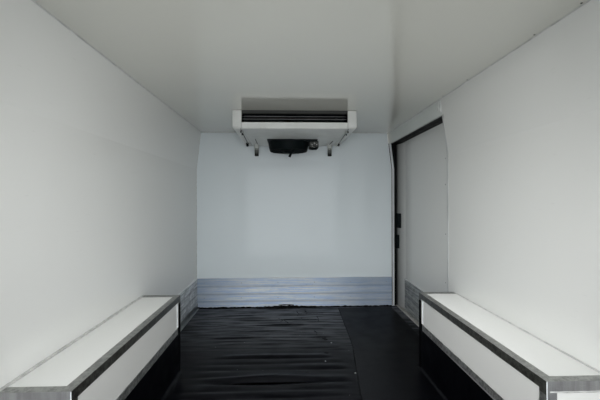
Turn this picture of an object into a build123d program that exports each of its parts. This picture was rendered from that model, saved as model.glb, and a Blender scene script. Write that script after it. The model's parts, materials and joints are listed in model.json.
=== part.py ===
from build123d import *
import math
import os

# Insulated load compartment of a refrigerated van: the lining panels, floor, bulkhead,
# wheel boxes, side door, rear doors and the ceiling evaporator, in millimetres.
# X runs to the right as seen from the rear doorway, Y forward, Z up. The origin is on the
# underside of the floor panel, below the middle of the load space.

os.makedirs("parts", exist_ok=True)

# Load space, between its inner faces
space_length = 2400.0
space_width = 1520.0
space_top_width = 1452.0
space_height = 1343.0
lean_height = 1060.0  # above this height the walls lean in

# Panels
wall_thickness = 50.0
ceiling_thickness = 55.0
floor_thickness = 52.0
bulkhead_thickness = 60.0
rear_frame_depth = 60.0
roof_edge_radius = 28.0

# Floor covering and the smooth mat laid on it
covering_thickness = 3.0
rib_pitch = 116.0
rib_from_bulkhead = 87.0
rib_width = 12.0
rib_height = 2.0
rib_end_from_wall = 525.0
rib_end_step = 2.0
upturn_height = 190.0
mat_thickness = 2.0
mat_margin = 8.0
# Left edge of the mat, cut by hand: distance behind the bulkhead, width from the right wall
mat_cut_rows = (
    (40.0, 438.0),
    (730.0, 457.0),
    (1246.0, 517.0),
)
mat_rear_width = 545.0

# Wheel boxes over the van's wheel arches
box_width = 175.0
box_length = 863.0
box_to_doorway = 74.0
box_height = 363.0
box_wall = 40.0
arch_radius = 170.0

# Aluminium angle along the edges of the wheel boxes
angle_leg = 25.0
angle_thickness = 2.0
band_height = 30.0

# Fluted kick plates
kick_height = 229.0
kick_thickness = 8.0
kick_bead = 3.0
flute_heights = (50.0, 105.0, 164.0)
flute_depth = 3.0
skirting_height = 40.0
skirting_foot = 16.0
skirting_thickness = 3.0

# Side doorway, between the right wall and the bulkhead
side_door_length = 928.0
header_height = 81.0
post_inset = 18.0
post_width = 23.0
post_seal_width = 18.0
post_seal_depth = 24.0
door_rebate = 15.0
door_overlap = 40.0
door_top_overlap = 30.0
door_thickness = 50.0
door_wall_gap = 2.0
door_bottom_gap = 6.0
door_nose_length = 65.0
door_nose_slope = 115.0
door_edge_radius = 8.0
door_seal_lip = 6.0
door_seal_inset = 4.0
sill_setback = 20.0
sill_thickness = 5.0
sill_lip_width = 9.0
sill_lip_height = 5.0
edge_trim_width = 15.0
header_trim_width = 30.0

# Latch housings on the front edge of the side door: height of the foot, length, width
latch_rows = (
    (450.0, 104.0, 30.0),
    (608.0, 111.0, 56.0),
)
latch_setback = 4.0
latch_depth = 7.0

# Evaporator under the ceiling
unit_offset = -21.5
unit_width = 723.0
unit_depth = 650.0
unit_height = 108.0
unit_from_bulkhead = 30.0
cap_width = 54.0
cap_radius = 16.0
sheet_thickness = 3.0
lip_height = 38.0
lip_radius = 9.0
tray_rear_height = 30.0
louvre_drops = (36.0, 50.0)  # below the ceiling
louvre_depth = 26.0
louvre_thickness = 3.0
louvre_setback = 9.0
coil_setback = 90.0
coil_depth = 120.0
coil_clearance = 4.0
coil_end_gap = 20.0

# Fan below the evaporator's tray
fan_offset = -35.5
fan_from_back = 165.0
shroud_height = 62.0
shroud_top_radius = 146.0
shroud_foot_radius = 134.0
shroud_wall = 6.0
guard_thickness = 5.0
guard_wire = 3.0
guard_ring_radii = (58.0, 76.0, 94.0, 112.0)
guard_spokes = 6
guard_hub_radius = 42.0
ring_sides = 24
motor_radius = 38.0
motor_rise = 22.0
motor_drop = 12.0
motor_chamfer = 5.0
shaft_radius = 4.0
shaft_rise = 18.0
shaft_clearance = 0.2
rotor_gap = 6.0
rotor_hub_radius = 36.0
rotor_hub_height = 20.0
blade_count = 7
blade_tip_gap = 11.0
blade_chord_root = 34.0
blade_chord_tip = 56.0
blade_pitch = 28.0
blade_camber_radius = 95.0
blade_thickness = 2.5
gland_radius = 9.0
gland_length = 34.0
gland_offset = 20.0
gland_tilt = 24.0
junction_width = 60.0
junction_length = 130.0
junction_height = 44.0
junction_gap = 4.0

# Drain hoses and toggle latches under the tray
drain_inset = 37.0
drain_from_back = 70.0
drain_spout_radius = 17.0
drain_spout_length = 30.0
drain_hose_radius = 15.0
drain_hose_length = 56.0
toggle_width = 15.0
toggle_drop = 8.0
toggle_chamfer = 3.0
# Toggle pieces: start behind the unit's front, length
toggle_rows = (
    (50.0, 60.0),
    (510.0, 60.0),
)

# Rear doorway and its frame
jamb_width = 95.0
doorway_drop = 33.0
doorway_radius = 60.0
trim_width = 35.0
trim_thickness = 3.0
rear_sill_width = 45.0

# Rear doors, hung on vertical pins at the outer rear corners
rear_door_open = 90.0
rear_door_thickness = 55.0
rear_door_gap = 17.0
rear_door_meeting_gap = 12.0
rear_door_overlap = 80.0
rear_door_top_overlap = 40.0
rear_door_foot = 20.0
plug_depth = 35.0
plug_clearance = 10.0
plug_meeting_gap = 36.0
rear_seal_depth = 12.0
rear_seal_width = 16.0
hinge_from_foot = 230.0
hinge_from_top = 215.0
hinge_side_offset = 14.0
hinge_pin_offset = 4.0
hinge_pin_radius = 6.0
hinge_pin_clearance = 0.2
knuckle_radius = 13.0
knuckle_half = 17.0
strap_length = 250.0
strap_half = 17.0
strap_thickness = 6.0
lug_gap = 1.0
lug_thickness = 8.0
lug_chamfer = 7.0
bracket_width = 42.0
bracket_thickness = 6.0
rod_radius = 10.0
rod_from_edge = 60.0
rod_standoff = 8.0
rod_guides_from_foot = (100.0, 540.0)
rod_guides_from_top = (505.0, 75.0)
guide_half = 15.0
handle_height = 700.0
handle_length = 190.0
handle_half = 14.0
handle_thickness = 7.0
keeper_width = 34.0
keeper_depth = 24.0
keeper_height = 20.0
keeper_inset = 14.0

# Timber battens that pack the panels off the van's body
batten_width = 60.0
batten_thickness = 12.0
batten_foot_gap = 18.0
batten_arch_gap = 32.0
batten_top_gap = 35.0
batten_end_inset = 50.0
batten_front_inset = 20.0
batten_box_gap = 75.0
roof_batten_inset = 156.0

# Places worked out from the sizes above
half = space_width / 2
top_half = space_top_width / 2
outer_half = half + wall_thickness
top_outer_half = top_half + wall_thickness
front = space_length / 2
rear = -space_length / 2
front_out = front + bulkhead_thickness
rear_out = rear - rear_frame_depth
floor_top = floor_thickness + covering_thickness
ceiling = floor_top + space_height
roof = ceiling + ceiling_thickness
lean = floor_top + lean_height
wall_reach = max(outer_half, top_outer_half)
side_door_rear = front - side_door_length
box_inner_half = half - box_width
box_front = side_door_rear - box_to_doorway
box_rear = box_front - box_length
box_top = floor_top + box_height
door_head = ceiling - header_height
door_inner = wall_reach + door_wall_gap
door_outer = door_inner + door_thickness
door_back = side_door_rear - door_overlap
post_inner = half - post_inset
post_outer = post_inner + post_width
header_outer = wall_reach - door_rebate
sill_inner = half + sill_setback
unit_left = unit_offset - unit_width / 2
unit_right = unit_offset + unit_width / 2
unit_rear = front - unit_from_bulkhead
unit_front = unit_rear - unit_depth
unit_base = ceiling - unit_height
unit_inner_left = unit_left + cap_width
unit_inner_right = unit_right - cap_width
fan_x = unit_offset + fan_offset
fan_y = unit_rear - fan_from_back
doorway_half = half - jamb_width
doorway_top = ceiling - doorway_drop


def wall_face(z, foot=half):
    """Distance of a wall's inner face from the middle at height z."""
    return foot - max(0.0, z - lean) * (half - top_half) / (ceiling - lean)


def slab(x, y, z, plane=Plane.XY, mode=Mode.ADD):
    """A flat panel between low and high limits on each axis of the plane."""
    with BuildSketch(plane.offset(min(z))) as outline:
        with Locations(((x[0] + x[1]) / 2, (y[0] + y[1]) / 2)):
            Rectangle(abs(x[1] - x[0]), abs(y[1] - y[0]))
    extrude(outline.sketch, amount=abs(z[1] - z[0]), mode=mode)


def section(points, y, mode=Mode.ADD):
    """A profile drawn in X and Z, carried from the first to the second Y."""
    with BuildSketch(Plane.XZ.offset(-max(y))) as outline:
        with BuildLine():
            Polyline(*points, close=True)
        make_face()
    extrude(outline.sketch, amount=abs(y[1] - y[0]), mode=mode)


def side_section(points, x, mode=Mode.ADD):
    """A profile drawn in Y and Z, carried from the first to the second X."""
    with BuildSketch(Plane.YZ.offset(min(x))) as outline:
        with BuildLine():
            Polyline(*points, close=True)
        make_face()
    extrude(outline.sketch, amount=abs(x[1] - x[0]), mode=mode)


def column(x, y, z, radius, plane=Plane.XY, mode=Mode.ADD):
    """A round upright piece about the point x, y."""
    with BuildSketch(plane.offset(min(z))) as outline:
        with Locations((x, y)):
            Circle(radius)
    extrude(outline.sketch, amount=abs(z[1] - z[0]), mode=mode)


def wheel_arch(side):
    """Room for the van's wheel arch, open at the foot and on the outside."""
    inner = box_inner_half + box_wall
    arch_length = box_length - 2 * box_wall
    arch_height = box_top - box_wall
    with BuildSketch(Plane.YZ.offset(min(side * inner, side * outer_half))) as arch:
        with Locations(((box_front + box_rear) / 2, arch_height / 2)):
            Rectangle(arch_length, arch_height)
        fillet(arch.vertices().group_by(Axis.Y)[-1], arch_radius)
    extrude(arch.sketch, amount=outer_half - inner, mode=Mode.SUBTRACT)


def kick_plate(start, outward, length):
    """A fluted kick plate that stands on the floor covering and runs along a panel."""
    run = Vector(*outward).cross(Vector(0, 0, 1))
    foot = Plane(origin=start, x_dir=outward, z_dir=run)
    with BuildSketch(foot) as profile:
        with Locations((kick_thickness / 2, kick_height / 2)):
            Rectangle(kick_thickness, kick_height)
        with Locations((kick_thickness, kick_height - kick_bead)):
            Circle(kick_bead)
        for flute_height in flute_heights:
            with Locations((kick_thickness, flute_height)):
                Rectangle(flute_depth * math.sqrt(2), flute_depth * math.sqrt(2), rotation=45, mode=Mode.SUBTRACT)
    extrude(profile.sketch, amount=length)


# Floor panel: one insulated board under everything, with a step under the side door
with BuildPart() as floor_panel:
    slab((-outer_half, outer_half), (rear_out, front_out), (0, floor_thickness))
    slab((outer_half, door_outer), (door_back, front_out), (0, floor_thickness))
    for side in (-1, 1):
        wheel_arch(side)
floor_panel.part.label = "floor_panel"
export_step(floor_panel.part, "parts/floor_panel.step")

# Floor covering: black sheet, turned up against the wheel boxes
covering_rear = rear + rear_sill_width
with BuildPart() as floor_covering:
    slab((-half, half), (covering_rear, front), (floor_thickness, floor_top))
    slab((half, sill_inner), (side_door_rear, front), (floor_thickness, floor_top))
    for side in (-1, 1):
        slab((side * box_inner_half, side * half), (box_rear, box_front), (floor_thickness, floor_top), mode=Mode.SUBTRACT)
        slab(
            (side * (box_inner_half - angle_thickness), side * box_inner_half),
            (box_rear + angle_leg, box_front - angle_leg),
            (floor_thickness, floor_top + upturn_height),
        )
floor_covering.part.label = "floor_covering"
export_step(floor_covering.part, "parts/floor_covering.step")

# Ribs raised across the floor covering
rib_count = int((front - rib_from_bulkhead - covering_rear) // rib_pitch) + 1
with BuildPart() as floor_covering_ribs:
    for rib in range(rib_count):
        rib_y = front - rib_from_bulkhead - rib * rib_pitch
        beside_box = box_rear - rib_width < rib_y < box_front + rib_width
        rib_left = -(box_inner_half if beside_box else half) + skirting_foot + mat_margin
        side_section(
            (
                (rib_y - rib_width / 2, floor_top),
                (rib_y - rib_width / 4, floor_top + rib_height),
                (rib_y + rib_width / 4, floor_top + rib_height),
                (rib_y + rib_width / 2, floor_top),
            ),
            (rib_left, half - rib_end_from_wall - rib * rib_end_step),
        )
floor_covering_ribs.part.label = "floor_covering_ribs"
export_step(floor_covering_ribs.part, "parts/floor_covering_ribs.step")

# Smooth mat over the right third of the floor, its left edge cut by hand
mat_front = front - mat_cut_rows[0][0]
mat_rear = covering_rear + mat_margin
mat_box_side = box_inner_half - angle_thickness - mat_margin
mat_wall_side = half - kick_thickness - skirting_foot - mat_margin
with BuildPart() as floor_mat:
    with BuildSketch(Plane.XY.offset(floor_top)):
        with BuildLine():
            Polyline(
                *((half - cut_width, front - cut_behind) for cut_behind, cut_width in mat_cut_rows),
                (half - mat_rear_width, mat_rear),
                (mat_wall_side, mat_rear),
                (mat_wall_side, box_rear - mat_margin),
                (mat_box_side, box_rear - mat_margin),
                (mat_box_side, box_front + mat_margin),
                (mat_wall_side, box_front + mat_margin),
                (mat_wall_side, mat_front),
                close=True,
            )
        make_face()
    extrude(amount=mat_thickness)
floor_mat.part.label = "floor_mat"
export_step(floor_mat.part, "parts/floor_mat.step")

# Walls: insulated panels that lean in towards the ceiling, open at the wheel arches
for side, wall_front, name in ((-1, front_out, "left_wall"), (1, side_door_rear, "right_wall")):
    with BuildPart() as wall:
        section(
            (
                (side * half, floor_thickness),
                (side * half, lean),
                (side * top_half, ceiling),
                (side * top_outer_half, ceiling),
                (side * outer_half, lean),
                (side * outer_half, floor_thickness),
            ),
            (rear, wall_front),
        )
        wheel_arch(side)
        if side == 1:
            slab(
                (header_outer, wall_reach),
                (door_back, side_door_rear),
                (floor_thickness, door_head + door_top_overlap),
                mode=Mode.SUBTRACT,
            )
    wall.part.label = name
    export_step(wall.part, f"parts/{name}.step")

# Beam over the side door, level with the wall inside
with BuildPart() as door_header:
    section(
        (
            (wall_face(door_head), door_head),
            (top_half, ceiling),
            (header_outer, ceiling),
            (header_outer, door_head),
        ),
        (side_door_rear, front_out),
    )
door_header.part.label = "door_header"
export_step(door_header.part, "parts/door_header.step")

# Ceiling panel, laid on the walls, its long outer edges rounded to the van's roof
with BuildPart() as ceiling_panel:
    slab((-top_outer_half, top_outer_half), (rear, front_out), (ceiling, roof))
    fillet(ceiling_panel.edges().filter_by(Axis.Y).group_by(Axis.Z)[-1], roof_edge_radius)
ceiling_panel.part.label = "ceiling_panel"
export_step(ceiling_panel.part, "parts/ceiling_panel.step")

# Bulkhead between the left wall and the door post
with BuildPart() as bulkhead_panel:
    section(
        (
            (-half, floor_thickness),
            (-half, lean),
            (-top_half, ceiling),
            (wall_face(ceiling, post_inner), ceiling),
            (post_inner, lean),
            (post_inner, floor_thickness),
        ),
        (front, front_out),
    )
bulkhead_panel.part.label = "bulkhead_panel"
export_step(bulkhead_panel.part, "parts/bulkhead_panel.step")

# Aluminium post at the bulkhead's edge, the front jamb of the side doorway
with BuildPart() as door_post:
    section(
        (
            (post_inner, floor_thickness),
            (post_inner, lean),
            (wall_face(door_head, post_inner), door_head),
            (wall_face(door_head, post_outer), door_head),
            (post_outer, lean),
            (post_outer, floor_thickness),
        ),
        (front, front_out),
    )
door_post.part.label = "door_post"
export_step(door_post.part, "parts/door_post.step")

# Wheel boxes: insulated covers, hollow over the arch
for side, name in ((-1, "left_wheel_box"), (1, "right_wheel_box")):
    with BuildPart() as wheel_box:
        slab((side * box_inner_half, side * half), (box_rear, box_front), (floor_thickness, box_top))
        wheel_arch(side)
    wheel_box.part.label = name
    export_step(wheel_box.part, f"parts/{name}.step")

# Aluminium angle on the wheel boxes' edges, and a flat band above the floor upturn
for side, name in ((-1, "left_box_trim"), (1, "right_box_trim")):
    face = side * box_inner_half
    skin = side * (box_inner_half - angle_thickness)
    trim_inset = side * (box_inner_half + angle_leg)
    trim_rear = box_rear - angle_thickness
    trim_front = box_front + angle_thickness
    leg_foot = box_top - angle_leg
    with BuildPart() as box_trim:
        slab((skin, side * half), (trim_rear, trim_front), (floor_top, box_top + angle_thickness))
        slab((face, side * half), (box_rear, box_front), (floor_top, box_top), mode=Mode.SUBTRACT)
        slab(
            (trim_inset, side * half),
            (box_rear + angle_leg, box_front - angle_leg),
            (box_top, box_top + angle_thickness),
            mode=Mode.SUBTRACT,
        )
        slab((skin, face), (box_rear + angle_leg, box_front - angle_leg), (floor_top, leg_foot), mode=Mode.SUBTRACT)
        slab((trim_inset, side * half), (trim_rear, trim_front), (floor_top, leg_foot), mode=Mode.SUBTRACT)
        band_foot = floor_top + upturn_height
        slab((skin, face), (box_rear + angle_leg, box_front - angle_leg), (band_foot, band_foot + band_height))
    box_trim.part.label = name
    export_step(box_trim.part, f"parts/{name}.step")

# Kick plates round the foot of the load space
front_kick_start = front - kick_thickness - kick_bead
box_trim_front = box_front + angle_thickness
box_trim_rear = box_rear - angle_thickness
kick_rows = (
    ("bulkhead_kick_plate", (post_inner, front, floor_top), (0, -1, 0), post_inner + half),
    ("left_front_kick_plate", (-half, front_kick_start, floor_top), (1, 0, 0), front_kick_start - box_trim_front),
    ("right_front_kick_plate", (half, box_trim_front, floor_top), (-1, 0, 0), side_door_rear - edge_trim_width - box_trim_front),
    ("left_rear_kick_plate", (-half, box_trim_rear, floor_top), (1, 0, 0), box_trim_rear - rear),
    ("right_rear_kick_plate", (half, rear, floor_top), (-1, 0, 0), box_trim_rear - rear),
)
for name, start, outward, length in kick_rows:
    with BuildPart() as plate:
        kick_plate(start, outward, length)
    plate.part.label = name
    export_step(plate.part, f"parts/{name}.step")

# Aluminium skirting angles at the foot of both front kick plates
with BuildPart() as front_skirting:
    for side, skirting_end in ((-1, front_kick_start), (1, side_door_rear - edge_trim_width)):
        skirting_face = half - kick_thickness
        skirting_skin = skirting_face - skirting_thickness
        skirting_toe = skirting_face - skirting_foot
        section(
            (
                (side * skirting_face, floor_top),
                (side * skirting_face, floor_top + skirting_height),
                (side * skirting_skin, floor_top + skirting_height),
                (side * skirting_skin, floor_top + skirting_thickness),
                (side * skirting_toe, floor_top + skirting_thickness),
                (side * skirting_toe, floor_top),
            ),
            (box_trim_front, skirting_end),
        )
front_skirting.part.label = "front_skirting"
export_step(front_skirting.part, "parts/front_skirting.step")

# Side doorway: aluminium edge trims on the wall and under the header
with BuildPart() as door_frame_trim:
    head_face = wall_face(door_head)
    section(
        (
            (half - angle_thickness, floor_top),
            (half - angle_thickness, lean),
            (head_face - angle_thickness, door_head),
            (head_face, door_head),
            (half, lean),
            (half, floor_top),
        ),
        (side_door_rear - edge_trim_width, side_door_rear + angle_thickness),
    )
    section(
        (
            (half, floor_top),
            (half, lean),
            (head_face, door_head),
            (header_outer, door_head),
            (header_outer, floor_top),
        ),
        (side_door_rear, side_door_rear + angle_thickness),
    )
    slab(
        (head_face, head_face + header_trim_width),
        (side_door_rear, front),
        (door_head - angle_thickness, door_head),
    )
door_frame_trim.part.label = "door_frame_trim"
export_step(door_frame_trim.part, "parts/door_frame_trim.step")

# Aluminium threshold on the step under the side door, with a raised lip at the floor's edge
sill_top = floor_thickness + sill_thickness
with BuildPart() as door_sill:
    slab((sill_inner, outer_half), (side_door_rear + angle_thickness, front), (floor_thickness, sill_top))
    slab((outer_half, door_outer), (door_back, front), (floor_thickness, sill_top))
    slab(
        (sill_inner, sill_inner + sill_lip_width),
        (side_door_rear + angle_thickness, front),
        (sill_top, sill_top + sill_lip_height),
    )
door_sill.part.label = "door_sill"
export_step(door_sill.part, "parts/door_sill.step")

# Rubber seal all round the side doorway, which the door closes on
door_foot = sill_top + door_bottom_gap
seal_rear = door_back + door_seal_inset
nose_inner = max(post_outer, wall_face(door_head, post_outer)) + post_seal_width
nose_top = door_head - 2 * door_seal_lip
with BuildPart() as door_frame_seal:
    slab(
        (header_outer, door_inner),
        (seal_rear, side_door_rear - door_seal_inset),
        (sill_top, door_head + door_top_overlap - door_seal_lip),
    )
    slab(
        (header_outer, door_inner),
        (seal_rear, front + post_seal_depth),
        (door_head, door_head + door_top_overlap - door_seal_lip),
    )
    slab(
        (head_face + header_trim_width, door_inner),
        (side_door_rear + angle_thickness, front),
        (door_head - door_seal_lip, door_head),
    )
    section(
        (
            (post_outer, sill_top),
            (post_outer, lean),
            (wall_face(door_head, post_outer), door_head),
            (nose_inner, door_head),
            (nose_inner, sill_top),
        ),
        (front, front + post_seal_depth),
    )
    slab((nose_inner, door_inner), (front, front + post_seal_depth), (nose_top, door_head))
    slab((door_inner + door_seal_lip, door_outer - door_seal_lip), (seal_rear, front), (sill_top, door_foot))
door_frame_seal.part.label = "door_frame_seal"
export_step(door_frame_seal.part, "parts/door_frame_seal.step")

# Side door: a sliding leaf, closed, with a thicker nose that presses on the post's seal
nose_front = front + door_nose_length - door_seal_inset
nose_back = front - door_edge_radius
with BuildPart() as side_door:
    slab((door_inner, door_outer), (door_back, nose_front), (door_foot, door_head + door_top_overlap))
    fillet(side_door.edges().filter_by(Axis.Z).group_by(Axis.X)[-1], door_edge_radius)
    with BuildSketch(Plane.XY.offset(door_foot)):
        with BuildLine():
            Polyline(
                (door_inner, nose_back - door_nose_slope),
                (nose_inner, nose_back),
                (nose_inner, nose_front),
                (door_inner, nose_front),
                close=True,
            )
        make_face()
    extrude(amount=nose_top - door_foot)
side_door.part.label = "side_door"
export_step(side_door.part, "parts/side_door.step")

# Kick plate on the side door's inner face
with BuildPart() as side_door_kick_plate:
    door_kick_start = (door_inner, side_door_rear + door_overlap / 2, door_foot)
    kick_plate(door_kick_start, (-1, 0, 0), nose_back - door_nose_slope - door_kick_start[1])
side_door_kick_plate.part.label = "side_door_kick_plate"
export_step(side_door_kick_plate.part, "parts/side_door_kick_plate.step")

# Latch housings let into the sloping front edge of the side door
slope_run = Vector(nose_inner - door_inner, door_nose_slope, 0).normalized()
latch_plane = Plane(origin=(nose_inner, nose_back, 0), x_dir=slope_run, z_dir=(0, 0, 1))
with BuildPart() as side_door_latches:
    for latch_foot, latch_length, latch_width in latch_rows:
        slab(
            (-latch_setback - latch_width, -latch_setback),
            (0, latch_depth),
            (floor_top + latch_foot, floor_top + latch_foot + latch_length),
            plane=latch_plane,
        )
side_door_latches.part.label = "side_door_latches"
export_step(side_door_latches.part, "parts/side_door_latches.step")

# Evaporator end caps, moulded, rounded at the lower front and outer edges
with BuildPart() as evaporator_caps:
    for cap_side in (unit_left, unit_inner_right):
        slab((cap_side, cap_side + cap_width), (unit_front, unit_rear), (unit_base, ceiling))
    cap_foot_edges = evaporator_caps.edges().group_by(Axis.Z)[0]
    cap_outer_edges = cap_foot_edges.filter_by(Axis.Y).sort_by(Axis.X)
    cap_front_edges = cap_foot_edges.filter_by(Axis.X).group_by(Axis.Y)[0]
    fillet([*cap_front_edges, cap_outer_edges[0], cap_outer_edges[-1]], cap_radius)
evaporator_caps.part.label = "evaporator_caps"
export_step(evaporator_caps.part, "parts/evaporator_caps.step")

# Evaporator housing: folded sheet against the ceiling, with the back wall
with BuildPart() as evaporator_housing:
    side_section(
        (
            (unit_front + cap_radius, ceiling),
            (unit_rear, ceiling),
            (unit_rear, unit_base + tray_rear_height),
            (unit_rear - sheet_thickness, unit_base + tray_rear_height),
            (unit_rear - sheet_thickness, ceiling - sheet_thickness),
            (unit_front + cap_radius, ceiling - sheet_thickness),
        ),
        (unit_inner_left, unit_inner_right),
    )
evaporator_housing.part.label = "evaporator_housing"
export_step(evaporator_housing.part, "parts/evaporator_housing.step")

# Drip tray with the front lip, the fan's opening and two drain spouts
tray_floor = unit_base + sheet_thickness
drain_places = (unit_inner_left + drain_inset, unit_inner_right - drain_inset)
drain_y = unit_rear - drain_from_back
with BuildPart() as evaporator_tray:
    slab((unit_inner_left, unit_inner_right), (unit_front, unit_rear), (unit_base, unit_base + lip_height))
    fillet(evaporator_tray.edges().filter_by(Axis.X).group_by(Axis.Z)[0].group_by(Axis.Y)[0], lip_radius)
    slab(
        (unit_inner_left, unit_inner_right),
        (unit_front + sheet_thickness, unit_rear - sheet_thickness),
        (tray_floor, unit_base + lip_height),
        mode=Mode.SUBTRACT,
    )
    slab(
        (unit_inner_left, unit_inner_right),
        (unit_rear - sheet_thickness, unit_rear),
        (unit_base + tray_rear_height, unit_base + lip_height),
        mode=Mode.SUBTRACT,
    )
    column(fan_x, fan_y, (unit_base, tray_floor), shroud_foot_radius - shroud_wall, mode=Mode.SUBTRACT)
    for drain_x in drain_places:
        column(drain_x, drain_y, (unit_base - drain_spout_length, unit_base), drain_spout_radius)
evaporator_tray.part.label = "evaporator_tray"
export_step(evaporator_tray.part, "parts/evaporator_tray.step")

# Rubber hoses on the drain spouts
drain_top = unit_base - drain_spout_length
with BuildPart() as drain_hoses:
    for drain_x in drain_places:
        column(drain_x, drain_y, (drain_top - drain_hose_length, drain_top), drain_hose_radius)
drain_hoses.part.label = "drain_hoses"
export_step(drain_hoses.part, "parts/drain_hoses.step")

# Two thin louvres across the discharge opening
with BuildPart() as evaporator_louvres:
    for louvre_drop in louvre_drops:
        louvre_z = ceiling - louvre_drop
        louvre_y = unit_front + louvre_setback
        side_section(
            (
                (louvre_y, louvre_z),
                (louvre_y + louvre_depth, louvre_z + louvre_thickness),
                (louvre_y + louvre_depth, louvre_z + 2 * louvre_thickness),
                (louvre_y, louvre_z + louvre_thickness),
            ),
            (unit_inner_left, unit_inner_right),
        )
evaporator_louvres.part.label = "evaporator_louvres"
export_step(evaporator_louvres.part, "parts/evaporator_louvres.step")

# Coil block behind the louvres, one plain mass
with BuildPart() as evaporator_coil:
    slab(
        (unit_inner_left, unit_inner_right),
        (unit_front + coil_setback, unit_front + coil_setback + coil_depth),
        (tray_floor, ceiling - sheet_thickness),
    )
evaporator_coil.part.label = "evaporator_coil"
export_step(evaporator_coil.part, "parts/evaporator_coil.step")

# Toggle latches and rubber stops along the tray's side edges
with BuildPart() as tray_toggles:
    for toggle_x in (unit_inner_left - toggle_width, unit_inner_right):
        for toggle_start, toggle_length in toggle_rows:
            toggle_y = unit_front + toggle_start
            slab((toggle_x, toggle_x + toggle_width), (toggle_y, toggle_y + toggle_length), (unit_base - toggle_drop, unit_base))
    chamfer(tray_toggles.edges().filter_by(Axis.X).group_by(Axis.Z)[0], toggle_chamfer)
tray_toggles.part.label = "tray_toggles"
export_step(tray_toggles.part, "parts/tray_toggles.step")

# Fan shroud: a short cone under the tray
shroud_foot = unit_base - shroud_height
with BuildPart() as fan_shroud:
    with BuildSketch(Plane(origin=(fan_x, fan_y, 0), x_dir=(1, 0, 0), z_dir=(0, -1, 0))):
        with BuildLine():
            Polyline(
                (shroud_foot_radius - shroud_wall, shroud_foot),
                (shroud_foot_radius, shroud_foot),
                (shroud_top_radius, unit_base),
                (shroud_foot_radius - shroud_wall, unit_base),
                close=True,
            )
        make_face()
    revolve(axis=Axis((fan_x, fan_y, 0), (0, 0, 1)))
fan_shroud.part.label = "fan_shroud"
export_step(fan_shroud.part, "parts/fan_shroud.step")

# Fan guard: rings of short chords and spokes below the shroud, with the motor's plate
guard_foot = shroud_foot - guard_thickness
rim_middle = shroud_foot_radius - shroud_wall / 2
guard_rings = [(ring_radius, guard_wire) for ring_radius in guard_ring_radii] + [(rim_middle, shroud_wall)]
with BuildPart() as fan_guard:
    with BuildSketch(Plane(origin=(fan_x, fan_y, guard_foot))):
        RegularPolygon(guard_hub_radius, ring_sides)
        for ring_radius, ring_width in guard_rings:
            with BuildSketch(mode=Mode.PRIVATE) as ring:
                RegularPolygon(ring_radius + ring_width / 2, ring_sides)
                RegularPolygon(ring_radius - ring_width / 2, ring_sides, mode=Mode.SUBTRACT)
            add(ring.sketch)
        spoke_length = rim_middle
        with PolarLocations(spoke_length / 2, guard_spokes):
            Rectangle(spoke_length, guard_wire)
    extrude(amount=guard_thickness)
fan_guard.part.label = "fan_guard"
export_step(fan_guard.part, "parts/fan_guard.step")

# Fan motor: above and below the guard's plate, with its shaft and cable gland
motor_top = shroud_foot + motor_rise
motor_foot = guard_foot - motor_drop
with BuildPart() as fan_motor:
    column(fan_x, fan_y, (shroud_foot, motor_top), motor_radius)
    column(fan_x, fan_y, (motor_top, motor_top + shaft_rise), shaft_radius)
    column(fan_x, fan_y, (motor_foot, guard_foot), motor_radius)
    chamfer(fan_motor.edges().filter_by(GeomType.CIRCLE).group_by(Axis.Z)[0], motor_chamfer)
    gland_lean = math.radians(gland_tilt)
    gland_plane = Plane(
        origin=(fan_x + gland_offset, fan_y, motor_foot + motor_drop / 2),
        z_dir=(-math.sin(gland_lean), 0, -math.cos(gland_lean)),
    )
    column(0, 0, (0, gland_length), gland_radius, plane=gland_plane)
fan_motor.part.label = "fan_motor"
export_step(fan_motor.part, "parts/fan_motor.step")

# Junction box beside the shroud
junction_left = fan_x + shroud_top_radius + junction_gap
with BuildPart() as fan_junction_box:
    slab(
        (junction_left, junction_left + junction_width),
        (fan_y - junction_length / 2, fan_y + junction_length / 2),
        (unit_base - junction_height, unit_base),
    )
    fillet(fan_junction_box.edges().filter_by(Axis.Y).group_by(Axis.Z)[0], junction_gap)
fan_junction_box.part.label = "fan_junction_box"
export_step(fan_junction_box.part, "parts/fan_junction_box.step")

# Fan rotor: pitched, cambered sheet blades on a hub that turns on the motor's shaft
rotor_foot = motor_top + rotor_gap
blade_tip = shroud_foot_radius - shroud_wall - blade_tip_gap
blade_root = rotor_hub_radius - blade_thickness
blade_middle = rotor_foot + rotor_hub_height / 2
camber_sweep = math.degrees(blade_chord_tip / blade_camber_radius)
blade_plane = Plane(origin=(blade_root, 0, blade_middle), x_dir=(0, 1, 0), z_dir=(1, 0, 0))
with BuildPart() as blade:
    with BuildSketch(blade_plane.rotated((0, 0, blade_pitch))):
        with BuildLine():
            camber_centre = (0, -blade_camber_radius)
            start_angle = 90 - camber_sweep / 2
            outer_arc = CenterArc(camber_centre, blade_camber_radius + blade_thickness, start_angle, camber_sweep)
            inner_arc = CenterArc(camber_centre, blade_camber_radius, start_angle, camber_sweep)
            Line(outer_arc @ 0, inner_arc @ 0)
            Line(outer_arc @ 1, inner_arc @ 1)
        make_face()
    extrude(amount=blade_tip - blade_root)
    with BuildSketch(Plane.XY.offset(blade_middle - blade_chord_tip)):
        with BuildLine():
            Polyline(
                (blade_root, -blade_chord_root / 2),
                (blade_tip, -blade_chord_tip / 2),
                (blade_tip, blade_chord_tip / 2),
                (blade_root, blade_chord_root / 2),
                close=True,
            )
        make_face()
    extrude(amount=2 * blade_chord_tip, mode=Mode.INTERSECT)
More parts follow.
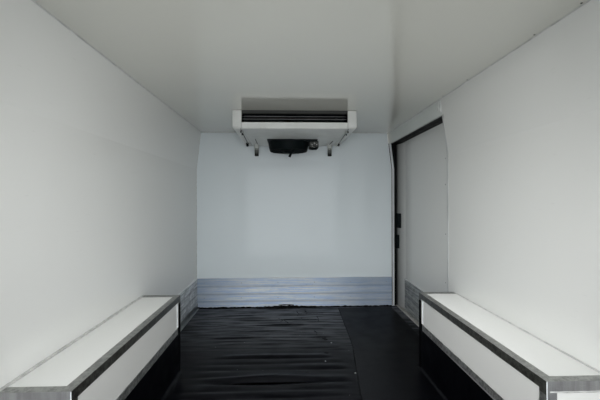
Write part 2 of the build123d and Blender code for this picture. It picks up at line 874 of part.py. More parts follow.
with BuildPart() as fan_rotor:
    column(fan_x, fan_y, (rotor_foot, rotor_foot + rotor_hub_height), rotor_hub_radius)
    with Locations((fan_x, fan_y, 0)):
        with PolarLocations(0, blade_count):
            add(blade.part)
    shaft_hole_top = motor_top + shaft_rise + shaft_clearance
    column(fan_x, fan_y, (rotor_foot, shaft_hole_top), shaft_radius + shaft_clearance, mode=Mode.SUBTRACT)
fan_rotor.part.label = "fan_rotor"
export_step(fan_rotor.part, "parts/fan_rotor.step")

# Rear frame: posts and header round the doorway, to the body's outer section
with BuildPart() as rear_frame:
    with BuildSketch(Plane.XZ.offset(-rear)):
        with BuildLine():
            Polyline(
                (-outer_half, floor_thickness),
                (-outer_half, lean),
                (-top_outer_half, ceiling),
                (-top_outer_half, roof - roof_edge_radius),
                (-top_outer_half + roof_edge_radius, roof),
                (top_outer_half - roof_edge_radius, roof),
                (top_outer_half, roof - roof_edge_radius),
                (top_outer_half, ceiling),
                (outer_half, lean),
                (outer_half, floor_thickness),
                close=True,
            )
        make_face()
        with BuildSketch(mode=Mode.PRIVATE) as doorway:
            with Locations((0, doorway_top / 2)):
                Rectangle(2 * doorway_half, doorway_top)
            fillet(doorway.vertices().group_by(Axis.Y)[-1], doorway_radius)
        add(doorway.sketch, mode=Mode.SUBTRACT)
    extrude(amount=rear_frame_depth)
rear_frame.part.label = "rear_frame"
export_step(rear_frame.part, "parts/rear_frame.step")

# Aluminium trim on the frame's rear face, round the doorway
trim_rear_face = rear_out - trim_thickness
with BuildPart() as rear_frame_trim:
    with BuildSketch(Plane.XZ.offset(-rear_out)):
        with Locations((0, (floor_thickness + doorway_top + trim_width) / 2)):
            Rectangle(2 * (doorway_half + trim_width), doorway_top + trim_width - floor_thickness)
        with BuildSketch(mode=Mode.PRIVATE) as opening:
            with Locations((0, doorway_top / 2)):
                Rectangle(2 * doorway_half, doorway_top)
            fillet(opening.vertices().group_by(Axis.Y)[-1], doorway_radius)
        add(opening.sketch, mode=Mode.SUBTRACT)
    extrude(amount=trim_thickness)
rear_frame_trim.part.label = "rear_frame_trim"
export_step(rear_frame_trim.part, "parts/rear_frame_trim.step")

# Aluminium sill over the floor's rear edge
with BuildPart() as rear_sill:
    slab((-doorway_half, doorway_half), (trim_rear_face, covering_rear), (floor_thickness, floor_top))
    slab((-doorway_half, doorway_half), (trim_rear_face, rear_out), (floor_top - trim_width, floor_thickness))
rear_sill.part.label = "rear_sill"
export_step(rear_sill.part, "parts/rear_sill.step")

# Rear door leaves, stored open. In a leaf's own plane X runs from the hinge pin to the
# free edge, and Y is outward on the right leaf and inward on the left one.
door_face = trim_rear_face - rear_door_gap
hinge_x = outer_half + hinge_side_offset
hinge_y = door_face - rear_door_thickness - hinge_pin_offset
leaf_hinge_edge = hinge_x - doorway_half - rear_door_overlap
leaf_free_edge = hinge_x - rear_door_meeting_gap / 2
leaf_outer = -hinge_pin_offset
leaf_inner = leaf_outer - rear_door_thickness
leaf_top = doorway_top + rear_door_top_overlap
hinge_low = rear_door_foot + hinge_from_foot
hinge_high = leaf_top - hinge_from_top
hinge_heights = (hinge_low, hinge_high)
guide_heights = [rear_door_foot + height for height in rod_guides_from_foot]
guide_heights += [leaf_top - drop for drop in rod_guides_from_top]
plug_hinge_edge = hinge_x - doorway_half + plug_clearance
plug_free_edge = hinge_x - plug_meeting_gap / 2
plug_inner = leaf_inner - plug_depth
plug_foot = floor_top + plug_clearance
plug_top = doorway_top - plug_clearance
rod_along = leaf_free_edge - rod_from_edge
rod_out = leaf_outer + rod_standoff + rod_radius

for side, name in ((-1, "rear_left_door"), (1, "rear_right_door")):
    turn = math.radians(180 + rear_door_open if side == 1 else -rear_door_open)
    leaf = Plane(origin=(side * hinge_x, hinge_y, 0), x_dir=(math.cos(turn), math.sin(turn), 0), z_dir=(0, 0, 1))

    with BuildPart() as door:
        slab((leaf_hinge_edge, leaf_free_edge), (side * leaf_inner, side * leaf_outer), (rear_door_foot, leaf_top), plane=leaf)
        plug_plane = Plane(origin=leaf.origin, x_dir=leaf.x_dir, z_dir=-leaf.y_dir)
        with BuildSketch(plug_plane.offset(-side * leaf_inner)) as plug:
            with Locations(((plug_hinge_edge + plug_free_edge) / 2, (plug_foot + plug_top) / 2)):
                Rectangle(plug_free_edge - plug_hinge_edge, plug_top - plug_foot)
            fillet(plug.vertices().group_by(Axis.Y)[-1].sort_by(Axis.X)[0], doorway_radius - plug_clearance)
        extrude(amount=side * plug_depth)
    door.part.label = name
    export_step(door.part, f"parts/{name}.step")

    with BuildPart() as door_kick_plate:
        kick_along = plug_free_edge if side == 1 else plug_hinge_edge
        kick_corner = leaf.from_local_coords(Vector(kick_along, side * plug_inner, plug_foot))
        kick_plate(tuple(kick_corner), tuple(leaf.y_dir * -side), plug_free_edge - plug_hinge_edge)
    door_kick_plate.part.label = f"{name}_kick_plate"
    export_step(door_kick_plate.part, f"parts/{name}_kick_plate.step")

    with BuildPart() as door_seal:
        seal_y = (side * leaf_inner, side * (leaf_inner - rear_seal_depth))
        slab(
            (plug_hinge_edge - rear_seal_width, plug_free_edge + rear_door_meeting_gap),
            seal_y,
            (plug_foot - rear_seal_width, plug_top + rear_seal_width),
            plane=leaf,
        )
        slab((plug_hinge_edge, plug_free_edge), seal_y, (plug_foot, plug_top), plane=leaf, mode=Mode.SUBTRACT)
    door_seal.part.label = f"{name}_seal"
    export_step(door_seal.part, f"parts/{name}_seal.step")

    with BuildPart() as door_hinges:
        strap_y = (side * leaf_outer, side * (leaf_outer + strap_thickness))
        for hinge_height in hinge_heights:
            slab((0, strap_length), strap_y, (hinge_height - strap_half, hinge_height + strap_half), plane=leaf)
            knuckle_z = (hinge_height - knuckle_half, hinge_height + knuckle_half)
            column(0, 0, knuckle_z, knuckle_radius, plane=leaf)
            column(0, 0, knuckle_z, hinge_pin_radius + hinge_pin_clearance, plane=leaf, mode=Mode.SUBTRACT)
    door_hinges.part.label = f"{name}_hinges"
    export_step(door_hinges.part, f"parts/{name}_hinges.step")

    with BuildPart() as door_lock:
        column(rod_along, side * rod_out, (rear_door_foot, leaf_top + keeper_inset), rod_radius, plane=leaf)
        for guide_height in guide_heights:
            slab(
                (rod_along - rod_radius - guide_half, rod_along + rod_radius + guide_half),
                (side * leaf_outer, side * rod_out),
                (guide_height - guide_half, guide_height + guide_half),
                plane=leaf,
            )
        slab(
            (rod_along - handle_length, rod_along),
            (side * (rod_out - handle_thickness / 2), side * (rod_out + handle_thickness / 2)),
            (handle_height - handle_half, handle_height + handle_half),
            plane=leaf,
        )
    door_lock.part.label = f"{name}_lock"
    export_step(door_lock.part, f"parts/{name}_lock.step")

# Hinge brackets on the rear frame: a plate, two lugs and the pin at each hinge
lug_low = knuckle_half + lug_gap
lug_high = lug_low + lug_thickness
for side, name in ((-1, "left_hinge_brackets"), (1, "right_hinge_brackets")):
    with BuildPart() as hinge_brackets:
        plate_x = (side * (outer_half - bracket_width), side * outer_half)
        for hinge_height in hinge_heights:
            slab(
                plate_x,
                (rear_out - bracket_thickness, rear_out),
                (hinge_height - lug_high, hinge_height + lug_high),
            )
            for lug_z in (-lug_high, lug_low):
                with BuildSketch(Plane.XY.offset(hinge_height + lug_z)) as lug:
                    with BuildLine():
                        Polyline(
                            (plate_x[0], rear_out),
                            (plate_x[1], rear_out),
                            (side * (hinge_x + knuckle_radius), hinge_y - knuckle_radius),
                            (side * (hinge_x - knuckle_radius), hinge_y - knuckle_radius),
                            close=True,
                        )
                    make_face()
                    chamfer(lug.vertices().group_by(Axis.Y)[0], lug_chamfer)
                extrude(lug.sketch, amount=lug_thickness)
            column(side * hinge_x, hinge_y, (hinge_height - lug_high, hinge_height + lug_high), hinge_pin_radius)
    hinge_brackets.part.label = name
    export_step(hinge_brackets.part, f"parts/{name}.step")

# Keepers for the lock rods, on the header and the floor's rear edge
keeper_x = hinge_x - rod_along
with BuildPart() as lock_keepers:
    for side in (-1, 1):
        keeper_span = (side * keeper_x - keeper_width / 2, side * keeper_x + keeper_width / 2)
        slab(keeper_span, (rear_out - keeper_depth, rear_out), (roof - keeper_inset - keeper_height, roof - keeper_inset))
lock_keepers.part.label = "lock_keepers"
export_step(lock_keepers.part, "parts/lock_keepers.step")

# Timber battens glued to the outside of the walls and the roof: middle along Y, foot height
batten_low = floor_thickness + batten_foot_gap
batten_high = box_top + batten_arch_gap
batten_rows = (
    (rear + batten_end_inset, batten_low),
    (box_rear - batten_box_gap, batten_low),
    ((box_rear + box_front) / 2, batten_high),
    (door_back - batten_width, batten_high),
    ((side_door_rear + front) / 2, batten_low),
    (front - batten_front_inset, batten_low),
)
for side, name in ((-1, "left_wall_battens"), (1, "right_wall_battens")):
    with BuildPart() as wall_battens:
        for batten_y, batten_foot in batten_rows:
            if side == -1 or batten_y + batten_width / 2 < door_back:
                slab(
                    (side * outer_half, side * (outer_half + batten_thickness)),
                    (batten_y - batten_width / 2, batten_y + batten_width / 2),
                    (batten_foot, lean - batten_top_gap),
                )
    wall_battens.part.label = name
    export_step(wall_battens.part, f"parts/{name}.step")

roof_batten_half = top_outer_half - roof_batten_inset
with BuildPart() as roof_battens:
    for batten_y, batten_foot in batten_rows:
        slab(
            (-roof_batten_half, roof_batten_half),
            (batten_y - batten_width / 2, batten_y + batten_width / 2),
            (roof, roof + batten_thickness),
        )
roof_battens.part.label = "roof_battens"
export_step(roof_battens.part, "parts/roof_battens.step")
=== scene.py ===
import json
import math
import random

import bmesh
import bpy
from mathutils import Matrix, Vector, noise

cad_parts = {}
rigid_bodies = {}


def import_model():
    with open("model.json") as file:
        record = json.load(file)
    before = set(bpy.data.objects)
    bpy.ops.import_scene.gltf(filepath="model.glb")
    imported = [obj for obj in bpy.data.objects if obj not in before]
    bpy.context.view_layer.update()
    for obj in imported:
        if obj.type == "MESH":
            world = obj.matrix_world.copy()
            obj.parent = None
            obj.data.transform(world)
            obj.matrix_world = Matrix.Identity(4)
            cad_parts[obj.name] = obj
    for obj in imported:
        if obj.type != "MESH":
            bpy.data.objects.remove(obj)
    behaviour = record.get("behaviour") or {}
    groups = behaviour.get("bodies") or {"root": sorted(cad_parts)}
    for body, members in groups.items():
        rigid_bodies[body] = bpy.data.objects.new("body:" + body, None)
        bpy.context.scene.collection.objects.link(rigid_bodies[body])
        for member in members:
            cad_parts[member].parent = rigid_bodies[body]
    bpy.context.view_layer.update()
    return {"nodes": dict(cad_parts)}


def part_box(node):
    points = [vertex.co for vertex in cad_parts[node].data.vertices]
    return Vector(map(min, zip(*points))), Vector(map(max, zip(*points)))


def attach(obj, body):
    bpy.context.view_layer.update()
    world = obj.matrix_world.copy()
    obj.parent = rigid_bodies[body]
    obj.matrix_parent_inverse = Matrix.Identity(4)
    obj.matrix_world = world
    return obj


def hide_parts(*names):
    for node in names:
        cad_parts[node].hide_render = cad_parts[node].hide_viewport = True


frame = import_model()
nodes = frame["nodes"]

# The view from just behind the rear doorway, at chest height, with a wide lens. It looks
# along the load space to the bulkhead, turned a little to the right.
camera_data = bpy.data.cameras.new("view")
camera_data.lens = 21.3
camera_data.sensor_width = 36.0
camera_data.clip_start = 0.02
camera = bpy.data.objects.new("view", camera_data)
camera.location = (-0.065, -1.535, 0.876)
camera.rotation_euler = (math.radians(90.05), math.radians(0.14), math.radians(-2.01))
bpy.context.scene.collection.objects.link(camera)
bpy.context.scene.camera = camera
bpy.context.scene.view_settings.view_transform = "Standard"

# Plain white world and a pale studio floor, with a lamp on either side. Daylight comes in at the
# rear doorway, from soft lamps just inside the closed doors and a weak one overhead. One more
# shows only in glossy surfaces, as the bright doorway does.
world = bpy.data.worlds.new("studio")
bpy.context.scene.world = world
world.use_nodes = True
world.node_tree.nodes["Background"].inputs["Color"].default_value = (0.93, 0.95, 0.97, 1)
world.node_tree.nodes["Background"].inputs["Strength"].default_value = 0.85

studio_mesh = bpy.data.meshes.new("studio_floor")
studio_mesh.from_pydata([(-9, -9, 0), (9, -9, 0), (9, 9, 0), (-9, 9, 0)], [], [(0, 1, 2, 3)])
studio_floor = bpy.data.objects.new("studio_floor", studio_mesh)
studio_floor.location.z = -0.001
bpy.context.scene.collection.objects.link(studio_floor)
studio_paint = bpy.data.materials.new("studio_paint")
studio_paint.use_nodes = True
studio_paint.node_tree.nodes["Principled BSDF"].inputs["Base Color"].default_value = (0.72, 0.72, 0.71, 1)
studio_paint.node_tree.nodes["Principled BSDF"].inputs["Roughness"].default_value = 0.9
studio_mesh.materials.append(studio_paint)

for lamp_name, width, height, place_at, aim_at, spread, watts in (
    ("doorway_daylight", 1.1, 1.1, (-0.06, -1.15, 0.70), (0.0, -0.21, 0.50), 128, 5.8),
    ("doorway_skylight", 0.8, 0.5, (-0.1, -1.10, 0.95), (-0.02, -0.20, 0.47), 140, 2.2),
    ("doorway_from_left", 0.28, 0.3, (-0.45, -1.16, 1.15), (0.60, 0.11, 0.28), 55, 0.45),
    ("doorway_past_left", 0.26, 0.5, (-0.35, -1.165, 1.0), (0.75, -0.545, 0.85), 100, 0.62),
    ("doorway_from_right", 0.28, 0.3, (0.35, -1.165, 1.10), (-0.74, -0.545, 1.22), 80, 0.5),
    ("soft_overhead", 1.2, 0.9, (0.12, -0.05, 1.38), (0.12, -0.05, 0), 80, 2.0),
    ("doorway_reflection", 1.33, 1.29, (0, -1.195, 0.72), (0, 0, 0.72), 180, 6.0),
    ("studio_left", 3.0, 3.0, (-5, -3, 4), (0, 0, 0.7), 180, 120),
    ("studio_right", 3.0, 3.0, (5, 2, 4), (0, 0, 0.7), 180, 70),
):
    only_reflected = lamp_name == "doorway_reflection"
    lamp_data = bpy.data.lights.new(lamp_name, "AREA")
    lamp_data.shape = "RECTANGLE"
    lamp_data.size, lamp_data.size_y = width, height
    lamp_data.energy = watts
    lamp_data.color = (0.86, 0.95, 1.0) if only_reflected else (1, 1, 1)
    lamp_data.spread = math.radians(spread)
    lamp = bpy.data.objects.new(lamp_name, lamp_data)
    lamp.location = place_at
    lamp.rotation_euler = (Vector(aim_at) - Vector(place_at)).to_track_quat("-Z", "Y").to_euler()
    lamp.visible_camera = False
    lamp.visible_diffuse = not only_reflected
    lamp.visible_glossy = only_reflected or lamp_name.startswith("studio")
    bpy.context.scene.collection.objects.link(lamp)


# Insulated wall, ceiling and floor panels: foam boards with a glossy white gelcoat skin inside
# and a raw glass fibre laminate outside, cut to show the foam at their edges. They are bonded
# to each other. All their finishes read the place on the object.
class Finish:
    """A material whose patterns are built up from shader nodes."""

    def __init__(self, name, **constants):
        """The constants are shader sockets that hold for the whole surface."""
        self.material = bpy.data.materials.new(name)
        self.material.use_nodes = True
        self.tree = self.material.node_tree
        self.shader = self.tree.nodes["Principled BSDF"]
        for socket, value in constants.items():
            self.shader.inputs[socket.replace("_", " ")].default_value = value

    def node(self, kind, inputs, **settings):
        """Adds a node; an input is a value or the socket that feeds it."""
        made = self.tree.nodes.new(kind)
        for setting, value in settings.items():
            setattr(made, setting, value)
        for socket, value in inputs.items():
            if isinstance(value, bpy.types.NodeSocket):
                self.tree.links.new(value, made.inputs[socket])
            elif value is not None:
                made.inputs[socket].default_value = value
        return made

    def coordinates(self, output="Object"):
        """The place on the object, or the way that its face looks."""
        return self.node("ShaderNodeTexCoord", {}).outputs[output]

    def parts(self, output="Object"):
        """The coordinates' three parts."""
        return self.node("ShaderNodeSeparateXYZ", {"Vector": self.coordinates(output)}).outputs

    def cloud(self, size, detail=3.0, rough=0.5, scale=(1, 1, 1), turn=(0, 0, 0), warp=0.0):
        """Soft noise whose blobs are about size metres, stretched and turned."""
        inputs = {"Vector": self.coordinates(), "Scale": scale, "Rotation": turn}
        vector = self.node("ShaderNodeMapping", inputs).outputs["Vector"]
        inputs = {"Vector": vector, "Scale": 1 / size, "Detail": detail, "Roughness": rough, "Distortion": warp}
        return self.node("ShaderNodeTexNoise", inputs).outputs["Fac"]

    def levels(self, value, low, high, to_low=0.0, to_high=1.0):
        """Maps low to high onto another range, and holds it at the ends."""
        inputs = {"Value": value, "From Min": low, "From Max": high, "To Min": to_low, "To Max": to_high}
        return self.node("ShaderNodeMapRange", inputs).outputs["Result"]

    def math(self, operation, first, second=None):
        """Arithmetic on one or two values."""
        return self.node("ShaderNodeMath", {0: first, 1: second}, operation=operation).outputs[0]

    def times(self, first, second):
        return self.math("MULTIPLY", first, second)

    def most(self, first, second):
        return self.math("MAXIMUM", first, second)

    def above(self, value, edge):
        """1 where the value is more than the edge, or else 0."""
        return self.math("GREATER_THAN", value, edge)

    def below(self, value, edge):
        """1 where the value is less than the edge, or else 0."""
        return self.math("LESS_THAN", value, edge)

    def distance(self, value):
        """How far the value is from 0, either way."""
        return self.math("ABSOLUTE", value)

    def mix(self, factor, *pair):
        """The first colour where factor is 0, the second where it is 1."""
        first, second = ((*colour, 1) if isinstance(colour, tuple) else colour for colour in pair)
        return self.node("ShaderNodeMix", {"Factor": factor, 6: first, 7: second}, data_type="RGBA").outputs[2]

    def relief(self, height, depth, under=None):
        """A bump of depth metres, on top of another one."""
        inputs = {"Height": height, "Distance": depth, "Strength": 1.0, "Normal": under}
        return self.node("ShaderNodeBump", inputs).outputs["Normal"]

    def wear(self, **sockets):
        """Feeds the shader's sockets from the pattern's last nodes."""
        for socket, value in sockets.items():
            self.tree.links.new(value, self.shader.inputs[socket.replace("_", " ")])
        return self

    def stain(self, amount, colour):
        """Lays one more colour over the finish; here it is painted shade."""
        bare = self.shader.inputs["Base Color"].links[0].from_socket
        return self.wear(Base_Color=self.mix(amount, bare, colour))


def dress(finish, *names):
    """Gives CAD nodes their finish."""
    for name in names:
        nodes[name].data.materials.clear()
        nodes[name].data.materials.append(finish.material)


def darker(tint, share):
    return tuple(part * share for part in tint)


def gelcoat_colour(finish, tint, grime_top=0.4):
    """Gelcoat with cloudy shade, faint scuffs and a little grime near the floor."""
    shade = finish.levels(finish.cloud(0.6, 2), 0.3, 0.7)
    scuffs = finish.levels(finish.cloud(0.006, 3, 0.6, (1, 0.12, 1), (0.3, 0.1, 0.2)), 0.68, 0.78, 0, 0.22)
    near_floor = finish.levels(finish.parts()["Z"], grime_top, 0.05)
    grime = finish.times(near_floor, finish.levels(finish.cloud(0.2, 2), 0.3, 0.8, 0, 0.12))
    colour = finish.mix(shade, darker(tint, 0.97), tint)
    colour = finish.mix(scuffs, colour, (0.45, 0.45, 0.43))
    return finish.mix(grime, colour, (0.3, 0.29, 0.26))


def gelcoat_relief(finish):
    """Orange peel, and the slow waves of a laminated panel."""
    waves = finish.relief(finish.cloud(0.35, 1), 0.0009)
    return finish.relief(finish.cloud(0.0035, 2), 0.00003, waves)


def laminate_colour(finish):
    """Raw glass fibre laminate: short strands every way in a yellowish resin."""
    first, second, third = (
        finish.levels(finish.cloud(0.012, 3, 0.6, (1, 0.12, 0.12), (turn, turn * 0.7, turn)), 0.5, 0.62)
        for turn in (0.4, 1.5, 2.6)
    )
    strands = finish.most(finish.most(first, second), third)
    resin = finish.levels(finish.cloud(0.25, 4), 0.35, 0.65)
    resin = finish.mix(resin, (0.50, 0.47, 0.36), (0.62, 0.60, 0.50))
    return finish.mix(finish.times(strands, 0.4), resin, (0.78, 0.77, 0.69)), strands


def panel_finish(name, tint, inward, gloss=0.32, coat=0.25, shine=0.5, sharp=0.22, far_shade=0.0):
    """Gelcoat on the side that faces inward, laminate outside, foam on the cut edges; far_shade paints shade in
    towards the bulkhead.
    """
    finish = Finish(name, Coat_Roughness=sharp, Specular_IOR_Level=shine)
    inputs = {0: finish.coordinates("Normal"), 1: inward}
    facing = finish.node("ShaderNodeVectorMath", inputs, operation="DOT_PRODUCT").outputs["Value"]
    inside = finish.above(facing, 0.5)
    laminate, strands = laminate_colour(finish)
    inputs = {"Vector": finish.coordinates(), "Scale": 350.0}
    cells = finish.node("ShaderNodeTexVoronoi", inputs).outputs["Distance"]
    foam = finish.mix(cells, (0.70, 0.62, 0.40), (0.52, 0.44, 0.26))
    colour = finish.mix(finish.below(facing, -0.5), foam, laminate)
    colour = finish.mix(inside, colour, gelcoat_colour(finish, tint))
    # Painted shade: the panel darkens towards the bulkhead, as far as far_shade.
    colour = finish.mix(finish.levels(finish.parts()["Y"], -0.9, 1.2, 0, far_shade), colour, (0.30, 0.31, 0.29))
    rough = finish.levels(finish.cloud(0.3, 2), 0.3, 0.7, gloss * 0.9, gloss * 1.15)
    rough = finish.most(rough, finish.levels(inside, 1, 0, 0, 0.75))
    fibres = finish.times(strands, finish.math("SUBTRACT", 1.0, inside))
    if coat:
        finish.wear(Coat_Weight=finish.times(inside, coat))
    normal = finish.relief(fibres, 0.0004, gelcoat_relief(finish))
    return finish.wear(Base_Color=colour, Roughness=rough, Normal=normal)


white = (0.79, 0.80, 0.78)
dress(panel_finish("floor_board", (0.5, 0.46, 0.38), (0, 0, 1), 0.6, 0.0), "floor_panel")
dress(panel_finish("left_wall_gelcoat", white, (1, 0, 0)), "left_wall")
# The right wall and the ceiling get painted shade towards the bulkhead.
dress(panel_finish("right_wall_gelcoat", white, (-1, 0, 0), far_shade=0.44), "right_wall")
ceiling_gelcoat = panel_finish("ceiling_gelcoat", (0.73, 0.73, 0.67), (0, 0, -1), 0.14, 0.6, 0.4, 0.06, 0.27)
dress(ceiling_gelcoat, "ceiling_panel")
bulkhead_gelcoat = panel_finish("bulkhead_gelcoat", (0.80, 0.88, 0.92), (0, -1, 0), 0.45, 0.55, 0.3, 0.085)
# Painted shade: the bulkhead darkens towards its top.
shaded_head = bulkhead_gelcoat.levels(bulkhead_gelcoat.parts()["Z"], 0.4, 1.3, 0, 0.36)
dress(bulkhead_gelcoat.stain(shaded_head, (0.40, 0.43, 0.44)), "bulkhead_panel")
dress(panel_finish("header_gelcoat", (0.63, 0.66, 0.64), (-1, 0, 0), 0.35, 0.0), "door_header")


# Wheel boxes: moulded laminate covers over the wheel arches, gelcoated on the load side and
# bare inside the arch. Their edges are eased by the mould.
def place(name, mesh, finish, body="lining", instead_of=()):
    """Puts a finished mesh on its body, in place of the nodes that it stands for."""
    piece = bpy.data.objects.new(name, mesh)
    bpy.context.scene.collection.objects.link(piece)
    mesh.materials.clear()
    mesh.materials.append(finish.material)
    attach(piece, body)
    if instead_of:
        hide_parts(*instead_of)
    return piece


def settled(carrier):
    """The plain mesh that a carrier's modifiers make."""
    bpy.context.scene.collection.objects.link(carrier)
    settled_mesh = bpy.data.meshes.new_from_object(carrier.evaluated_get(bpy.context.evaluated_depsgraph_get()))
    bpy.data.objects.remove(carrier)
    return settled_mesh


def mesh_of(shape, name):
    """The plain mesh of an edited shape, which is given up."""
    mesh = bpy.data.meshes.new(name)
    shape.to_mesh(mesh)
    shape.free()
    return mesh


def eased(name, width, finish, sides=2):
    """A merged copy of a node with its sharp edges eased, in the node's place."""
    shape = bmesh.new()
    shape.from_mesh(nodes[name].data)
    bmesh.ops.remove_doubles(shape, verts=shape.verts, dist=0.00002)
    bmesh.ops.dissolve_limit(shape, angle_limit=math.radians(1.5), verts=shape.verts, edges=shape.edges)
    for face in shape.faces:
        face.smooth = True
    carrier = bpy.data.objects.new(name + "_blank", mesh_of(shape, name + "_blank"))
    ease = carrier.modifiers.new("eased_edges", "BEVEL")
    ease.width, ease.segments = width, sides
    ease.limit_method, ease.angle_limit = "ANGLE", math.radians(28)
    flat = carrier.modifiers.new("flat_faces", "WEIGHTED_NORMAL")
    flat.mode, flat.weight = "FACE_AREA", 100
    body = nodes[name].parent.name.removeprefix("body:")
    return place(name + "_eased", settled(carrier), finish, body, (name,))


def moulded(finish, colour):
    """The gloss and relief of moulded gelcoat, in this colour."""
    rough = finish.levels(finish.cloud(0.2, 2), 0.3, 0.7, 0.29, 0.36)
    return finish.wear(Base_Color=colour, Roughness=rough, Normal=gelcoat_relief(finish))


def box_finish():
    """Gelcoat, with painted shade on the side faces, and bare laminate inside the arch."""
    finish = Finish("box_gelcoat", Coat_Weight=0.25, Coat_Roughness=0.22)
    x, y, z = finish.parts()
    in_arch = finish.above(finish.distance(x), 0.6)
    for within in (finish.above(y, -0.63), finish.below(y, 0.16), finish.below(z, 0.385)):
        in_arch = finish.times(in_arch, within)
    laminate, _ = laminate_colour(finish)
    side_face = finish.above(finish.distance(finish.parts("Normal")["X"]), 0.7)
    # Painted shade on the side faces: deepest at the rear end, and more on the right box.
    right_box_shade = finish.times(finish.above(x, 0), finish.levels(y, -0.65, 0.2, 0.12, 0.16))
    box_side_shade = finish.math("ADD", finish.levels(y, -0.65, 0.2, 0.18, 0.04), right_box_shade)
    box_side_shade = finish.times(side_face, box_side_shade)
    colour = finish.mix(box_side_shade, gelcoat_colour(finish, white, 0.3), (0.36, 0.36, 0.35))
    return moulded(finish, finish.mix(in_arch, colour, laminate))


box_gelcoat = box_finish()
for side in ("left", "right"):
    eased(side + "_wheel_box", 0.0025, box_gelcoat, 3)


# Floor covering: black vinyl sheet bonded down at its edges. It has lifted between, and lies in
# creases across the floor; it turns up against the wheel boxes with a small cove.
def vinyl_finish(name, dusty, creased=True):
    """Black vinyl, wiped glossy in places and grey with dust in others. Creased, it greys towards the bulkhead
    with dust and painted reflection; flat, it is painted darker to the right as shade.
    """
    finish = Finish(name, Specular_IOR_Level=0.05)
    dust = finish.levels(finish.cloud(0.12, 6, 0.6), 0.5, 0.75, 0, 0.5 * dusty)
    smears = finish.levels(finish.cloud(0.03, 5, 0.6, (0.25, 1, 1)), 0.55, 0.7, 0, 0.3 * dusty)
    x, y, z = finish.parts()
    # Creased sheet: dust and painted reflection grey it towards the bulkhead. Flat mat: painted shade darkens it
    # to the right.
    if creased:
        dust_and_painted_light = finish.levels(y, 0.35, 1.0, dusty * 0.05, dusty * 1.25)
        between = finish.levels(finish.cloud(0.026, 5, 0.62, (0.12, 1, 1)), 0.42, 0.58, 0.05, 1.0)
    else:
        dust_and_painted_light = finish.levels(x, 0.28, 0.48, 0.055, 0.003)
        between = finish.levels(finish.cloud(0.15, 4, 0.6), 0.42, 0.58, 0.6, 1.0)
    dust_and_painted_light = finish.times(finish.times(dust_and_painted_light, between), finish.below(z, 0.07))
    sheet = finish.mix(finish.math("ADD", dust, smears), (0.0010, 0.0011, 0.0019), (0.0062, 0.0064, 0.0086))
    slow = finish.relief(finish.cloud(0.09, 3, 0.5, (0.35, 1, 1)), 0.0016 if creased else 0.0004)
    return finish.wear(
        Base_Color=finish.mix(dust_and_painted_light, sheet, (0.118, 0.124, 0.138)),
        Roughness=finish.levels(finish.cloud(0.08, 5, 0.6), 0.35, 0.7, 0.285, 0.40),
        Normal=finish.relief(finish.cloud(0.003, 3), 0.00008, slow),
    )


floor_level, sheet_underside, upturn_foot = 0.055, 0.052, 0.0535
sheet_rear, coarse_front, fine_rear, sheet_front = -1.155, -0.1, -0.0955, 1.2
box_face, box_back, box_front_edge, doorway_back = 0.585, -0.665, 0.198, 0.272
wall_foot, sill_foot = 0.76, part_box("floor_covering")[1][0]
seam_points = ((1.2, 0.324), (1.16, 0.322), (0.47, 0.303), (-0.046, 0.243), (-1.155, 0.215))
crease_rows = (
    # across the floor at y, depth, from x, to x
    (1.085, 0.0010, -0.55, 0.28), (0.995, 0.0017, -0.60, 0.30), (0.945, 0.0008, -0.45, 0.05),
    (0.900, 0.0017, -0.52, 0.27), (0.845, 0.0008, -0.40, 0.18), (0.793, 0.0026, -0.50, 0.26),
    (0.735, 0.0010, -0.30, 0.24), (0.687, 0.0018, -0.42, 0.30), (0.640, 0.0008, -0.55, 0.10),
    (0.582, 0.0028, -0.56, 0.22), (0.535, 0.0012, -0.52, 0.02), (0.494, 0.0014, -0.50, -0.02),
    (0.430, 0.0010, -0.54, 0.28), (0.399, 0.0016, 0.10, 0.30), (0.313, 0.0028, -0.48, 0.17),
    (0.255, 0.0010, -0.54, 0.24), (0.188, 0.0018, -0.54, 0.25), (0.124, 0.0012, -0.54, 0.10),
    (0.069, 0.0046, -0.54, 0.26), (0.000, 0.0012, -0.54, 0.22), (-0.053, 0.0018, -0.54, 0.20),
    (-0.160, 0.0024, -0.54, 0.19), (-0.270, 0.0014, -0.52, 0.20), (-0.375, 0.0024, -0.54, 0.18),
    (-0.490, 0.0018, -0.50, 0.19), (-0.600, 0.0024, -0.53, 0.17), (-0.715, 0.0016, -0.66, 0.18),
    (-0.830, 0.0024, -0.70, 0.17), (-0.940, 0.0016, -0.68, 0.18), (-1.050, 0.0020, -0.70, 0.16),
)


def held(value, low=0.0, high=1.0):
    return min(max(value, low), high)


def waver(x, y, z):
    """Smooth noise between about -1 and 1."""
    return noise.noise(Vector((x, y, z)))


def seam_at(y):
    """How far to the right the mat's left edge lies."""
    for (far, far_x), (near, near_x) in zip(seam_points, seam_points[1:]):
        if y >= near:
            return near_x + (far_x - near_x) * (y - near) / (far - near)
    return seam_points[-1][1]


